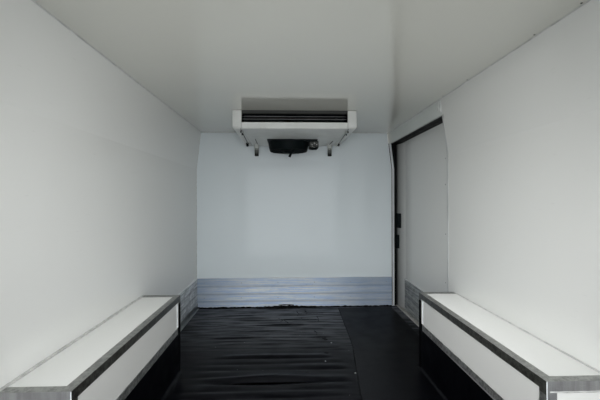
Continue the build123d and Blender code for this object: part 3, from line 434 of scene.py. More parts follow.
def crease_height(x, y):
    """Lift of the sheet: a roll on the far side of each crease, and a fold below it."""
    lift = 0.0
    for row, (across, depth, left, right) in enumerate(crease_rows):
        gap = y - across - 0.007 * waver(x * 2.0, row * 7.3, 0)
        width = 1 + 1.1 * held((0.5 - across) / 0.4)
        if abs(gap) > 0.07 * width:
            continue
        ends = held((x - left) / 0.12) * held((right - x) / 0.06)
        strength = depth * ends * held(0.85 + 1.1 * waver(x * 3.0, row * 3.1, 4), 0, 1.4)
        roll = 1.1 * math.exp(-(((gap / width - 0.016) / 0.013) ** 2))
        fold = 0.8 * math.exp(-((gap / width / 0.0065) ** 2))
        lift += strength * width * (roll - fold)
    lift += 0.0007 * (1 + waver(x * 6, y * 9, 1))
    beside_box = box_back - 0.03 < y < box_front_edge + 0.03
    edge_gap = min(x + (box_face if beside_box else wall_foot), 1.17 - y, y + 1.15, seam_at(y) - x)
    return lift * held((edge_gap - 0.022) / 0.05)


def stations(start, stop, step_length, fixed_lines):
    """Evenly spaced grid lines that also pass through the fixed places."""
    count = round((stop - start) / step_length)
    lines = [start + (stop - start) * index / count for index in range(count + 1)]
    lines = [line for line in lines if all(abs(line - spot) > step_length * 0.4 for spot in fixed_lines)]
    return sorted(lines + [spot for spot in fixed_lines if start <= spot <= stop])


def add_sheet(shape):
    """The creased sheet as a closed solid, cut out round the wheel boxes and the side door."""
    columns = stations(-wall_foot, sill_foot, 0.015, (-box_face, box_face, wall_foot))
    rows = stations(sheet_rear, coarse_front, 0.009, (box_back,))
    rows += stations(fine_rear, sheet_front, 0.0045, (box_front_edge, doorway_back))
    grid = {}

    def corner(column, row):
        if (column, row) not in grid:
            x, y = columns[column], rows[row]
            grid[column, row] = shape.verts.new((x, y, floor_level + crease_height(x, y)))
        return grid[column, row]

    for column in range(len(columns) - 1):
        middle_x = (columns[column] + columns[column + 1]) / 2
        for row in range(len(rows) - 1):
            middle_y = (rows[row] + rows[row + 1]) / 2
            under_box = abs(middle_x) > box_face and box_back < middle_y < box_front_edge
            beside_door = middle_x > wall_foot and middle_y < doorway_back
            if not under_box and not beside_door:
                around = ((column, row), (column + 1, row), (column + 1, row + 1), (column, row + 1))
                shape.faces.new([corner(*spot) for spot in around])
    rim = [edge for edge in shape.edges if edge.is_boundary]
    for part in bmesh.ops.extrude_edge_only(shape, edges=rim)["geom"]:
        if isinstance(part, bmesh.types.BMVert):
            part.co.z = sheet_underside
    bmesh.ops.contextual_create(shape, geom=[edge for edge in shape.edges if edge.is_boundary])


def add_upturn(shape, side):
    """The sheet's turned up edge along one wheel box, with its cove and an uneven top."""
    profile = [(0.020, 0.0005), (0.012, 0.0015), (0.006, 0.0045), (0.0025, 0.010), (0.0015, 0.018)]
    profile += [(0.0012, 0.03 + 0.16 * part / 8) for part in range(9)]
    last = len(profile) - 1
    rings = []
    for part in range(61):
        along = box_back + 0.024 + (box_front_edge - box_back - 0.048) * part / 60
        ring = []
        for index, (out, up) in enumerate(profile):
            sag = 0.0007 * (1 + waver(along * 9, up * 14, side * 3)) if index > 4 else 0
            top = 0.0022 * waver(along * 16, 0, side) if index == last else 0
            ring.append(shape.verts.new((side * (box_face - out - sag), along, floor_level + up + top)))
        for out, height in ((0, floor_level + profile[-1][1]), (0, upturn_foot), (0.020, upturn_foot)):
            ring.append(shape.verts.new((side * (box_face - out), along, height)))
        rings.append(ring)
    for first, second in zip(rings, rings[1:]):
        for index in range(len(first)):
            after = (index + 1) % len(first)
            shape.faces.new((first[index], first[after], second[after], second[index]))
    shape.faces.new(rings[0])
    shape.faces.new(rings[-1])


covering = bmesh.new()
add_sheet(covering)
for side in (-1, 1):
    add_upturn(covering, side)
bmesh.ops.recalc_face_normals(covering, faces=covering.faces)
for face in covering.faces:
    face.smooth = len(face.verts) == 4
covering_mesh = mesh_of(covering, "floor_covering_sheet")
covering_mesh.set_sharp_from_angle(angle=math.radians(50))
floor_vinyl = vinyl_finish("floor_vinyl", 0.8)
covered = ("floor_covering", "floor_covering_ribs")
place("floor_covering_sheet", covering_mesh, floor_vinyl, "lining", covered)

# Mat: a smooth black vinyl sheet over the right third of the floor, loose laid and cut by hand
# along its left edge
eased("floor_mat", 0.0008, vinyl_finish("mat_vinyl", 0.12, creased=False))


# Aluminium angles and bands on the wheel boxes: mill finish, mitred at the corners and bonded,
# dulled by handling and scratched along their length.
def box_trim_finish():
    """Painted shade down the angle's side, dusty on the band with a painted reflection along its foot on the right
    box, black at the far end below the top.
    """
    finish = Finish("box_trim_aluminium", Metallic=0.85)
    x, y, z = finish.parts()
    facing_x, facing_y, _ = finish.parts("Normal")
    sideways = finish.above(finish.distance(facing_x), 0.7)
    endways = finish.above(finish.distance(facing_y), 0.7)
    mottle = finish.levels(finish.cloud(0.018, 7, 0.8), 0.42, 0.58)
    along = finish.levels(finish.cloud(0.003, 4, 0.6, (0.3, 0.08, 1)), 0.4, 0.65)
    across = finish.levels(finish.cloud(0.02, 3, 0.6, (1, 1, 0.1)), 0.35, 0.65)
    colour = finish.mix(mottle, (0.22, 0.225, 0.215), (0.43, 0.435, 0.42))
    colour = finish.mix(finish.times(along, 0.35), colour, (0.46, 0.465, 0.45))
    end_colour = finish.mix(across, (0.27, 0.265, 0.27), (0.38, 0.38, 0.385))
    colour = finish.mix(endways, colour, end_colour)
    # Painted shade: the angle's side is a darker copy of the same aluminium.
    angle_side_shade = finish.mix(mottle, (0.075, 0.075, 0.066), (0.19, 0.19, 0.172))
    colour = finish.mix(finish.times(sideways, finish.above(z, 0.385)), colour, angle_side_shade)
    # Painted reflection: a bright strip along the band's foot on the right box, strongest at the rear end.
    foot_reflection = finish.times(finish.below(z, 0.2512), finish.above(x, 0))
    foot_reflection = finish.times(foot_reflection, finish.levels(y, -0.02, -0.22, 0.1, 1.0))
    band = finish.mix(mottle, (0.26, 0.265, 0.26), (0.60, 0.61, 0.60))
    band = finish.mix(foot_reflection, band, (0.75, 0.76, 0.76))
    colour = finish.mix(finish.times(sideways, finish.below(z, 0.29)), colour, band)
    # Black on the far end of the trim below the top.
    far_end_black = finish.times(finish.above(y, 0.157), finish.below(z, 0.386))
    return finish.wear(
        Base_Color=finish.mix(far_end_black, colour, (0.004, 0.004, 0.005)),
        Roughness=finish.most(finish.levels(mottle, 0, 1, 0.36, 0.5), finish.times(far_end_black, 0.9)),
        Normal=finish.relief(along, 0.00015),
    )


box_trim_metal = box_trim_finish()
for side in ("left", "right"):
    eased(side + "_box_trim", 0.0006, box_trim_metal)


# Kick plates: fluted aluminium extrusions round the foot of the panels, with a bead along the
# top, brushed and scuffed by boxes and boots
def fluted_finish(name, foot, tints, stain=0.2, shine=0.35, wiped_and_lit=False):
    """Brushed along its length, with grime in the flutes and a painted highlight on the bead; wiped and lit, it
    has less grime, a darker top flute and painted light brightest in the middle.
    """
    finish = Finish(name, Metallic=shine)
    x, _, z = finish.parts()
    streaks = finish.levels(finish.cloud(0.009, 6, 0.8, (0.04, 0.04, 1)), 0.40, 0.60)
    bands = finish.levels(finish.cloud(0.06, 3, 0.5, (0.12, 0.12, 1)), 0.3, 0.7)
    blotches = finish.levels(finish.cloud(0.05, 5, 0.65), 0.45, 0.7, 0, stain)
    knocks = finish.levels(finish.cloud(0.006, 4, 0.7, (0.5, 0.5, 1)), 0.66, 0.74, 0, 0.7)
    first, second, third = (
        finish.levels(finish.distance(finish.math("SUBTRACT", z, foot + flute)), 0.001, 0.012, 1, 0)
        for flute in (0.050, 0.105, 0.164)
    )
    grime = finish.times(finish.most(finish.most(first, second), third), 0.30 if wiped_and_lit else 0.38)
    colour = finish.mix(streaks, *tints)
    colour = finish.mix(finish.times(bands, 0.25), colour, tints[0])
    colour = finish.mix(blotches, colour, darker(tints[0], 0.5))
    colour = finish.mix(grime, colour, (0.12, 0.13, 0.16))
    colour = finish.mix(knocks, colour, (0.16, 0.17, 0.20))
    # Painted light: less grime, a darker top flute, and a painted reflection that is brightest in the middle.
    if wiped_and_lit:
        top_flute = finish.levels(z, foot + 0.16, foot + 0.18, 0, 0.22)
        colour = finish.mix(top_flute, colour, darker(tints[0], 0.5))
        off_centre = finish.levels(finish.distance(finish.math("ADD", x, 0.09)), 0.22, 0.62, 0, 0.55)
        colour = finish.mix(off_centre, colour, darker(tints[0], 0.32))
    # Painted highlight: a bright line along the top bead.
    bead = finish.levels(z, foot + 0.2262, foot + 0.2272, 0, 0.7)
    return finish.wear(
        Base_Color=finish.mix(bead, colour, (0.85, 0.87, 0.88)),
        Roughness=finish.levels(streaks, 0, 1, 0.60, 0.46),
        Normal=finish.relief(streaks, 0.00025),
    )


bulkhead_tints = (0.56, 0.73, 1.0), (0.97, 1.0, 1.0)
fluted = {
    "bulkhead": fluted_finish("bulkhead_fluted", 0.055, bulkhead_tints, 0.10, 0.15, True),
    # The side door's plate is the same aluminium with darker tints: painted shade.
    "side_door": fluted_finish("side_door_fluted", 0.063, ((0.17, 0.18, 0.175), (0.52, 0.54, 0.53)), 0.5),
    "rear_": fluted_finish("rear_door_fluted", 0.065, ((0.34, 0.36, 0.37), (0.58, 0.60, 0.61)), 0.4),
}
wall_fluted = fluted_finish("wall_fluted", 0.055, ((0.38, 0.41, 0.43), (0.95, 0.97, 0.99)), 0.75, 0.2)
for name in [name for name in nodes if name.endswith("kick_plate")]:
    own = [finish for start, finish in fluted.items() if name.startswith(start)]
    eased(name, 0.0005, own[0] if own else wall_fluted)


# Side doorway: post, edge trims, threshold and the skirting angle at the wall's foot, all of
# aluminium and screwed on. The edges are pale and handled, the threshold is worn.
def metal_finish(name, light, dark, grain, rough, scratch_scale=(1, 1, 1), metallic=1.0):
    """Dull metal with mottled oxide and scratches along its length."""
    finish = Finish(name, Metallic=metallic)
    mottle = finish.levels(finish.cloud(0.035, 6, 0.65), 0.38, 0.66)
    scratch = finish.levels(finish.cloud(grain, 5, 0.7, scratch_scale), 0.5, 0.72)
    colour = finish.mix(mottle, light, dark)
    return finish.wear(
        Base_Color=finish.mix(finish.times(scratch, 0.6), colour, tuple(part * 1.35 for part in light)),
        Roughness=finish.levels(mottle, 0, 1, rough * 0.85, rough * 1.25),
        Normal=finish.relief(scratch, 0.00012, finish.relief(mottle, 0.00015)),
    )


def pale_trim_finish():
    """Pale anodised edges, darker at the doorway's head."""
    finish = Finish("pale_anodised", Metallic=0.3)
    handled = finish.levels(finish.cloud(0.03, 5, 0.6, (1, 1, 0.2)), 0.4, 0.65)
    pale = finish.mix(handled, (0.66, 0.67, 0.66), (0.50, 0.51, 0.50))
    head = finish.mix(handled, (0.48, 0.50, 0.49), (0.36, 0.38, 0.37))
    return finish.wear(
        Base_Color=finish.mix(finish.levels(finish.parts()["Z"], 1.295, 1.305), pale, head),
        Roughness=finish.levels(handled, 0, 1, 0.35, 0.55),
        Normal=finish.relief(handled, 0.0002),
    )


def mottled(name, first, second, cloud, edges=None, rough=None, bump=None, **constants):
    """Clouds from one tint to another; rough and bump each start with a cloud's size and detail."""
    finish = Finish(name, **constants)
    fade = finish.cloud(*cloud)
    fade = finish.levels(fade, *edges) if edges else fade
    finish.wear(Base_Color=finish.mix(fade, first, second))
    if rough:
        size, detail, smooth, coarse = rough
        finish.wear(Roughness=finish.levels(finish.cloud(size, detail), 0.3, 0.7, smooth, coarse))
    if bump:
        size, detail, depth = bump
        finish.wear(Normal=finish.relief(finish.cloud(size, detail), depth))
    return finish


aluminium = metal_finish("dull_aluminium", (0.44, 0.45, 0.44), (0.34, 0.35, 0.34), 0.003, 0.4, (0.4, 0.1, 1))
worn_sill = metal_finish("worn_sill", (0.64, 0.63, 0.60), (0.44, 0.43, 0.41), 0.004, 0.45, (1, 0.15, 1), 0.3)
post_white = mottled(
    "post_white", (0.80, 0.84, 0.87), (0.60, 0.63, 0.65), (0.04, 5, 0.6, (1, 1, 0.3)), (0.4, 0.7),
    bump=(0.01, 3, 0.0002), Roughness=0.4,
)
eased("front_skirting", 0.0005, aluminium)
eased("door_sill", 0.0005, worn_sill)
eased("door_frame_trim", 0.0006, pale_trim_finish())
eased("door_post", 0.0006, post_white)


# Rubber seals: black hollow sections pushed onto the edges of the side doorway and the rear
# doors, with a thin flap hanging under the doorway's header
def plate(name, outline, low, high, finish):
    """A flat piece with this outline, between two heights."""
    shape = bmesh.new()
    layers = [[shape.verts.new((x, y, z)) for x, y in outline] for z in (low, high)]
    for index in range(len(outline)):
        after = (index + 1) % len(outline)
        shape.faces.new((layers[0][index], layers[0][after], layers[1][after], layers[1][index]))
    for layer in layers:
        shape.faces.new(layer)
    bmesh.ops.recalc_face_normals(shape, faces=shape.faces)
    return place(name, mesh_of(shape, name), finish)


def oblong(low_x, high_x, low_y, high_y):
    return (low_x, low_y), (high_x, low_y), (high_x, high_y), (low_x, high_y)


seal_rubber = mottled(
    "seal_rubber", (0.0022, 0.0023, 0.0026), (0.007, 0.007, 0.008), (0.02, 4),
    rough=(0.03, 4, 0.45, 0.7), bump=(0.002, 3, 0.0001), Specular_IOR_Level=0.08,
)
for name in ("door_frame_seal", "rear_left_door_seal", "rear_right_door_seal"):
    eased(name, 0.002, seal_rubber, 3)
plate("header_flap", oblong(0.7425, 0.7655, 0.276, 1.199), 1.3128, 1.3139, seal_rubber)

# Side door: an insulated leaf outside the doorway, with a sloped front edge where the black
# latch housings are let in. Painted shade darkens the slope and the face's front end.
side_gelcoat = panel_finish("side_door_gelcoat", (0.74, 0.75, 0.73), (-1, 0, 0), 0.33, 0.25)
slope_edge = 0.8115
depth, along, _ = side_gelcoat.parts()
# Painted shade: dark at the slope's nose, fading up the slope; the face darkens towards its front end.
slope_shade = side_gelcoat.levels(depth, 0.7865, 0.8110, 0.74, 0.26)
slope_shade = side_gelcoat.times(slope_shade, side_gelcoat.below(depth, slope_edge))
slope_shade = side_gelcoat.most(slope_shade, side_gelcoat.levels(depth, 0.7850, 0.7875, 0.93, 0.0))
front_shade = side_gelcoat.levels(along, 0.93, 1.07, 0, 0.22)
front_shade = side_gelcoat.times(front_shade, side_gelcoat.above(depth, slope_edge))
side_gelcoat.stain(side_gelcoat.most(slope_shade, front_shade), (0.012, 0.013, 0.014))
dress(side_gelcoat, "side_door")
black_plastic = mottled(
    "black_plastic", (0.0018, 0.0035, 0.004), (0.0055, 0.0095, 0.0105), (0.02, 5),
    rough=(0.02, 4, 0.38, 0.6), bump=(0.0012, 2, 0.00006), Specular_IOR_Level=0.07,
)
eased("side_door_latches", 0.0015, black_plastic)


# Sealant: beads run by gun into the corners between the panels, round the wheel boxes and, in
# black, along the bulkhead's foot, where it was smeared by hand.
def step(tree, kind, inputs, **settings):
    """Adds a geometry node and gives its first output; an input is a value or a socket."""
    made = tree.nodes.new(kind)
    for setting, value in settings.items():
        setattr(made, setting, value)
    for socket, value in inputs.items():
        if isinstance(value, bpy.types.NodeSocket):
            tree.links.new(value, made.inputs[socket])
        else:
            made.inputs[socket].default_value = value
    return made.outputs[0]


def new_tree(name, **sizes):
    """A geometry tree with named inputs for its sizes and its finish."""
    tree = bpy.data.node_groups.new(name, "GeometryNodeTree")
    tree.interface.new_socket("Geometry", in_out="INPUT", socket_type="NodeSocketGeometry")
    for size, kind in {**sizes, "Finish": "Material"}.items():
        tree.interface.new_socket(size.replace("_", " "), in_out="INPUT", socket_type="NodeSocket" + kind)
    tree.interface.new_socket("Geometry", in_out="OUTPUT", socket_type="NodeSocketGeometry")
    return tree, tree.nodes.new("NodeGroupInput").outputs


def end_tree(tree, shape, given):
    """Makes the shape real and gives it its finish."""
    shape = step(tree, "GeometryNodeRealizeInstances", {"Geometry": shape})
    shape = step(tree, "GeometryNodeSetMaterial", {"Geometry": shape, "Material": given["Finish"]})
    tree.links.new(shape, tree.nodes.new("NodeGroupOutput").inputs[0])


def grown(name, tree, verts, edges, sizes, aims=None):
    """The plain mesh that a tree grows on some points, with its sizes set."""
    mesh = bpy.data.meshes.new(name)
    mesh.from_pydata(verts, edges, [])
    if aims:
        aim_parts = [part for aim in aims for part in aim]
        mesh.attributes.new("aim", "FLOAT_VECTOR", "POINT").data.foreach_set("vector", aim_parts)
    carrier = bpy.data.objects.new(name + "_path", mesh)
    modifier = carrier.modifiers.new(name, "NODES")
    modifier.node_group = tree
    for item in tree.interface.items_tree:
        if item.in_out == "INPUT" and item.name in sizes:
            modifier[item.identifier] = sizes[item.name]
    return settled(carrier)


def bead_tree():
    """A round bead along each path, which may wander and swell."""
    tree, given = new_tree(
        "bead", Radius="Float", Step="Float", Wander="Float", Swell="Float", Corner="Float", Sides="Int"
    )
    line = step(tree, "GeometryNodeMeshToCurve", {"Mesh": given["Geometry"]})
    inputs = {"Curve": line, "Radius": given["Corner"], "Limit Radius": True, "Count": 6}
    line = step(tree, "GeometryNodeFilletCurve", inputs, mode="POLY")
    line = step(tree, "GeometryNodeResampleCurve", {"Curve": line, "Length": given["Step"]}, mode="LENGTH")
    spot = step(tree, "GeometryNodeInputPosition", {})
    wobble = step(tree, "ShaderNodeTexNoise", {"Vector": spot, "Scale": 28.0, "Detail": 3.0})
    inputs = {0: wobble.node.outputs["Color"], 1: (0.5, 0.5, 0.5)}
    centred = step(tree, "ShaderNodeVectorMath", inputs, operation="SUBTRACT")
    shift = step(tree, "ShaderNodeVectorMath", {0: centred, "Scale": given["Wander"]}, operation="SCALE")
    line = step(tree, "GeometryNodeSetPosition", {"Geometry": line, "Offset": shift})
    lumps = step(tree, "ShaderNodeTexNoise", {"Vector": spot, "Scale": 55.0, "Detail": 2.0})
    swell = step(tree, "ShaderNodeMath", {0: lumps.node.outputs["Fac"], 1: 0.5}, operation="SUBTRACT")
    swell = step(tree, "ShaderNodeMath", {0: swell, 1: given["Swell"], 2: 1.0}, operation="MULTIPLY_ADD")
    inputs = {"Resolution": given["Sides"], "Radius": given["Radius"]}
    ring = step(tree, "GeometryNodeCurvePrimitiveCircle", inputs)
    inputs = {"Curve": line, "Profile Curve": ring, "Scale": swell, "Fill Caps": True}
    tube = step(tree, "GeometryNodeCurveToMesh", inputs)
    end_tree(tree, step(tree, "GeometryNodeSetShadeSmooth", {"Geometry": tube}), given)
    return tree


beads = bead_tree()


def laid(name, paths, radius, finish, slot, instead_of=(), closed=False, **sizes):
    """Round bead or wire along some paths."""
    verts, edges = [], []
    for path in paths:
        start = len(verts)
        verts += path
        edges += [(start + index, start + index + 1) for index in range(len(path) - 1)]
        if closed:
            edges.append((len(verts) - 1, start))
    plain = {"Step": 0.02, "Wander": 0.0, "Swell": 0.0, "Corner": 0.0, "Sides": 8}
    given = {**plain, **sizes, "Radius": radius, "Finish": finish.material}
    return place(name, grown(name, beads, verts, edges, given), finish, "lining", instead_of)


def both_sides(*path):
    """The same path on the left and on the right."""
    return [[(out * x, y, z) for x, y, z in path] for out in (-1, 1)]


white_sealant = mottled(
    "white_sealant", (0.62, 0.63, 0.62), (0.44, 0.45, 0.44), (0.03, 5), (0.4, 0.65),
    bump=(0.004, 3, 0.0004), Roughness=0.45,
)
grey_sealant = mottled(
    "grey_sealant", (0.60, 0.60, 0.59), (0.44, 0.445, 0.44), (0.03, 5), (0.4, 0.65),
    bump=(0.004, 3, 0.0004), Roughness=0.5,
)
black_sealant = mottled(
    "black_sealant", (0.0018, 0.0018, 0.002), (0.006, 0.006, 0.007), (0.02, 4),
    rough=(0.01, 4, 0.5, 0.75), bump=(0.003, 3, 0.0006), Specular_IOR_Level=0.15,
)
ceiling_line, top_edge, lean_line, lean_edge, corner_foot = 1.397, 0.7255, 1.115, 0.7595, 0.288
wall_corners = [
    ((side * lean_edge, y, corner_foot), (side * lean_edge, y, lean_line), (side * top_edge, y, ceiling_line))
    for side, y in ((-1, 1.199), (-1, -1.199), (1, -1.199))
]
corner_paths = both_sides((top_edge, -1.19, ceiling_line), (top_edge, 1.199, ceiling_line))
corner_paths += [[(-top_edge, 1.199, ceiling_line), (0.717, 1.199, ceiling_line)]] + wall_corners
laid("corner_sealant", corner_paths, 0.0022, white_sealant, "gelcoat", Swell=0.5, Wander=0.0006)
for side, out, thickness in (("left", -1, 0.0052), ("right", 1, 0.0027)):
    box_paths = (
        ((out * 0.7585, -0.66, 0.4195), (out * 0.7585, 0.194, 0.4195)),
        ((out * 0.7595, 0.199, 0.29), (out * 0.7595, 0.199, 0.416)),
    )
    laid(side + "_box_sealant", box_paths, thickness, grey_sealant, "seal_rubber", Swell=0.8, Wander=0.0012)
# Painted shadow: a black line in the gap between the bulkhead and the doorway's post.
doorway_path = ((0.7462, 1.1982, 0.06), (0.7462, 1.1982, lean_line), (0.7220, 1.1982, 1.315))
laid("doorway_sealant", (doorway_path,), 0.0024, seal_rubber, "seal_rubber")
post_path = ((0.7552, 1.1975, 0.060), (0.7552, 1.1975, lean_line), (0.7310, 1.1975, 1.313))
laid("post_sealant", (post_path,), 0.0044, post_white, "seal_rubber", Swell=0.2)
# Painted highlights: thin pale beads along the near corner edges of the wheel boxes.
near_edges = both_sides((0.5838, -0.6672, 0.262), (0.5838, -0.6672, 0.4195))
laid("box_corner_edges", near_edges, 0.0013, post_white, "aluminium", Step=0.05)
far_edges = both_sides((0.5842, 0.1535, 0.278), (0.5842, 0.1535, 0.388))
laid("box_far_sealant", far_edges, 0.0025, post_white, "seal_rubber", Swell=0.4)
header_paths = (
    ((0.7285, 0.279, 1.33), (0.7262, 0.277, 1.392)),
    ((0.7280, 0.303, 1.345), (0.7262, 0.301, 1.385)),
)
laid("header_sealant", header_paths, 0.0034, white_sealant, "gelcoat", Swell=1.6, Wander=0.005, Step=0.008)
end_paths = both_sides((0.592, -0.6655, 0.3925), (0.752, -0.6655, 0.3925))
laid("end_trim_sealant", end_paths, 0.0024, white_sealant, "seal_rubber", Swell=1.4, Wander=0.002, Step=0.01)
foot_paths = [
    ((-0.75, 1.187, 0.0575), (0.738, 1.187, 0.0575)),
    [
        (x, 1.186, z)
        for x, z in ((-0.30, 0.057), (-0.19, 0.061), (-0.1, 0.065), (0.0, 0.063), (0.08, 0.060), (0.3, 0.056))
    ],
    ((-0.30, 1.176, 0.054), (-0.18, 1.166, 0.055), (-0.06, 1.160, 0.055), (0.03, 1.170, 0.054)),
]
laid("bulkhead_foot_sealant", foot_paths, 0.0066, seal_rubber, "seal_rubber", Swell=2.6, Wander=0.006, Step=0.008)
smear_path = [(x, 1.1868, z) for x, z in ((-0.135, 0.0745), (-0.10, 0.0770), (-0.06, 0.0765), (-0.02, 0.0735))]
laid("foot_smear", (smear_path,), 0.0030, seal_rubber, "seal_rubber", Swell=0.8, Wander=0.0012, Step=0.006)
seam_stations = (1.15, 0.95, 0.7, 0.47, 0.2, -0.04, -0.3, -0.6, -0.9, -1.14)
seam_path = [(seam_at(y) - 0.001, y, 0.0555) for y in seam_stations]
laid("mat_seam_sealant", (seam_path,), 0.0029, black_sealant, "seal_rubber", Swell=1.6, Wander=0.003, Step=0.012)
cracks = [
    [(x, y, 0.0556) for x, y in crack]
    for crack in (
        ((0.0, 1.085), (0.012, 1.035), (0.006, 0.985)),
        ((0.012, 1.035), (0.1, 1.03), (0.19, 1.04)),
        ((0.03, 0.935), (0.035, 0.9), (0.1, 0.905), (0.145, 0.895)),
        ((0.14, 0.965), (0.146, 0.915), (0.143, 0.87)),
        ((-0.09, 0.905), (-0.08, 0.875), (-0.06, 0.84)),
        ((0.1, 0.69), (0.115, 0.66), (0.11, 0.63)),
        ((-0.13, 0.93), (-0.10, 0.90), (-0.115, 0.86)),
        ((0.06, 1.10), (0.075, 1.06), (0.07, 1.02)),
    )
]
laid("floor_cracks", cracks, 0.0022, black_sealant, "floor_rubber", Swell=1.2, Wander=0.004, Step=0.008)

# Evaporator housing: white painted sheet between two moulded end caps, with a drip tray that
# turns up to a rounded lip. A black gasket fills the joint along each cap, and strips of the
# same sheet are folded out under the caps.
painted = mottled(
    "white_paint", (0.63, 0.645, 0.63), (0.565, 0.58, 0.56), (0.08, 5), (0.35, 0.7),
    rough=(0.05, 4, 0.35, 0.5), bump=(0.004, 2, 0.00004), Coat_Weight=0.2, Coat_Roughness=0.2,
)
lining_foam = mottled(
    "black_lining_foam", (0.004, 0.004, 0.004), (0.012, 0.012, 0.012), (0.01, 4),
    bump=(0.003, 4, 0.0008), Roughness=0.95, Specular_IOR_Level=0.1,
)
eased("evaporator_caps", 0.006, painted, 4)
eased("evaporator_tray", 0.0012, painted)
eased("evaporator_housing", 0.001, lining_foam)
gasket_paths = [
    ((-0.3345, 0.528, 1.2935), (-0.3350, 0.54, 1.2885), (-0.3540, 1.145, 1.2885)),
    ((0.2915, 0.528, 1.2935), (0.2920, 0.54, 1.2885), (0.3130, 1.165, 1.2885)),
    ((-0.281, 0.875, 1.289), (-0.285, 1.085, 1.289)),
    ((0.252, 0.935, 1.289), (0.247, 1.085, 1.289)),
]
laid("tray_gaskets", gasket_paths, 0.0022, seal_rubber, "seal_rubber", Wander=0.0005)
left_flange = (-0.329, 0.534), (-0.3335, 0.534), (-0.3535, 1.165), (-0.329, 1.165)
right_flange = (0.286, 0.534), (0.2905, 0.534), (0.3120, 1.165), (0.286, 1.165)
plate("left_tray_flange", left_flange, 1.2880, 1.2899, painted)
plate("right_tray_flange", right_flange, 1.2880, 1.2899, painted)

# Air outlet: two thin black louvres in front of the coil, which is a pack of folded fins on
# copper tubes between two end plates. A dark hood closes it above, and foam lines its ends.
def dusty_top(name, low, high, clean, dusty, grain):
    """A black finish that fades to dust between two heights."""
    finish = Finish(name, Specular_IOR_Level=0.1, Roughness=0.6)
    dust = finish.levels(finish.parts()["Z"], low, high)
    normal = finish.relief(finish.cloud(grain, 2), 0.0001)
    return finish.wear(Base_Color=finish.mix(dust, clean, dusty), Normal=normal)


outlet_left, outlet_right, outlet_face = -0.3265, 0.2835, 0.5225
grey_plastic = mottled(
    "grey_plastic", (0.005, 0.005, 0.006), (0.010, 0.010, 0.011), (0.03, 4),
    rough=(0.02, 3, 0.3, 0.45), Specular_IOR_Level=0.08,
)
louvre_edge = mottled(
    "louvre_edge", (0.27, 0.275, 0.285), (0.18, 0.184, 0.19), (0.05, 4),
    bump=(0.004, 2, 0.0001), Roughness=0.4,
)
eased("evaporator_louvres", 0.0008, grey_plastic)
edge_paths = [((-0.318, 0.5285, z), (0.276, 0.5285, z)) for z in (1.3470, 1.3630)]
laid("louvre_edges", edge_paths, 0.0012, louvre_edge, "black_plastic", Step=0.1)
for side, face_x, inner_x in (("left", -0.3288, outlet_left), ("right", 0.2858, outlet_right)):
    liner = oblong(face_x, inner_x, outlet_face, 0.66)
    plate(side + "_outlet_liner", liner, 1.3285, 1.3945, lining_foam)
hood_plastic = dusty_top("hood_plastic", 1.3755, 1.3850, (0.006, 0.006, 0.006), (0.052, 0.054, 0.052), 0.004)
hood_outline = oblong(outlet_left, outlet_right, outlet_face + 0.0003, 0.5262)
plate("outlet_hood", hood_outline, 1.3755, 1.3972, hood_plastic)
fin_metal = mottled(
    "coil_fins", (0.035, 0.036, 0.04), (0.012, 0.012, 0.013), (0.02, 5),
    rough=(0.01, 3, 0.4, 0.65), Metallic=1.0,
)
copper = metal_finish("copper_tube", (0.10, 0.055, 0.035), (0.05, 0.03, 0.02), 0.004, 0.5)
fins, given = new_tree("fin_pack", Pitch="Float", Count="Int", Thickness="Float", Depth="Float", Height="Float")
pitch = step(fins, "ShaderNodeCombineXYZ", {"X": given["Pitch"]})
row = step(fins, "GeometryNodeMeshLine", {"Count": given["Count"], "Offset": pitch}, mode="OFFSET")
fin_size = {"X": given["Thickness"], "Y": given["Depth"], "Z": given["Height"]}
fin = step(fins, "GeometryNodeMeshCube", {"Size": step(fins, "ShaderNodeCombineXYZ", fin_size)})
row = step(fins, "GeometryNodeSetPosition", {"Geometry": row, "Offset": (-0.3255, 0.67, 1.344)})
end_tree(fins, step(fins, "GeometryNodeInstanceOnPoints", {"Points": row, "Instance": fin}), given)
fin_sizes = {"Pitch": 0.003, "Count": 203, "Thickness": 0.0008, "Depth": 0.12, "Height": 0.102}
fin_sizes["Finish"] = fin_metal.material
fin_mesh = grown("coil_fins", fins, [(0, 0, 0)], [], fin_sizes)
place("coil_fins", fin_mesh, fin_metal, "lining", ("evaporator_coil",))
tube_paths = [
    ((-0.328, y, z), (0.285, y, z)) for y in (0.625, 0.655, 0.685, 0.715) for z in (1.312, 1.344, 1.376)
]
laid("coil_tubes", tube_paths, 0.0045, copper, "coil_fins", Step=0.3)

# Toggle latches: zinc plated steel with wire bails, which hold the tray up from below. Their
# hooks and grips are sleeved in black rubber.
zinc = metal_finish("zinc_plate", (0.55, 0.55, 0.52), (0.40, 0.40, 0.38), 0.003, 0.36, (1, 1, 0.2))
eased("tray_toggles", 0.001, zinc)
toggle_lines = ((-0.3395, -0.3520, 0.58, 1.03), (0.2965, 0.3085, 0.585, 1.03))
rod_paths = [((near_x, near, 1.2845), (far_x, far, 1.2845)) for near_x, far_x, near, far in toggle_lines]
laid("toggle_rods", rod_paths, 0.0021, zinc, "steel", Step=0.05)
hook_paths = [
    ((x, y, 1.288), (x, y - 0.002, 1.288 - drop))
    for x in (-0.3395, 0.2965)
    for y, drop in ((0.572, 0.012), (0.632, 0.016))
]
laid("toggle_hooks", hook_paths, 0.0034, seal_rubber, "seal_rubber", Step=0.003)
left_grip = ((-0.3515, 1.015, 1.2835), (-0.3525, 1.040, 1.2715))
laid("left_toggle_grip", (left_grip,), 0.0092, seal_rubber, "seal_rubber", Step=0.004, Swell=0.4)
right_grip = ((0.3085, 1.030, 1.2840), (0.3095, 1.050, 1.2745))
laid("right_toggle_grip", (right_grip,), 0.0068, grey_plastic, "seal_rubber", Step=0.004, Swell=0.4)


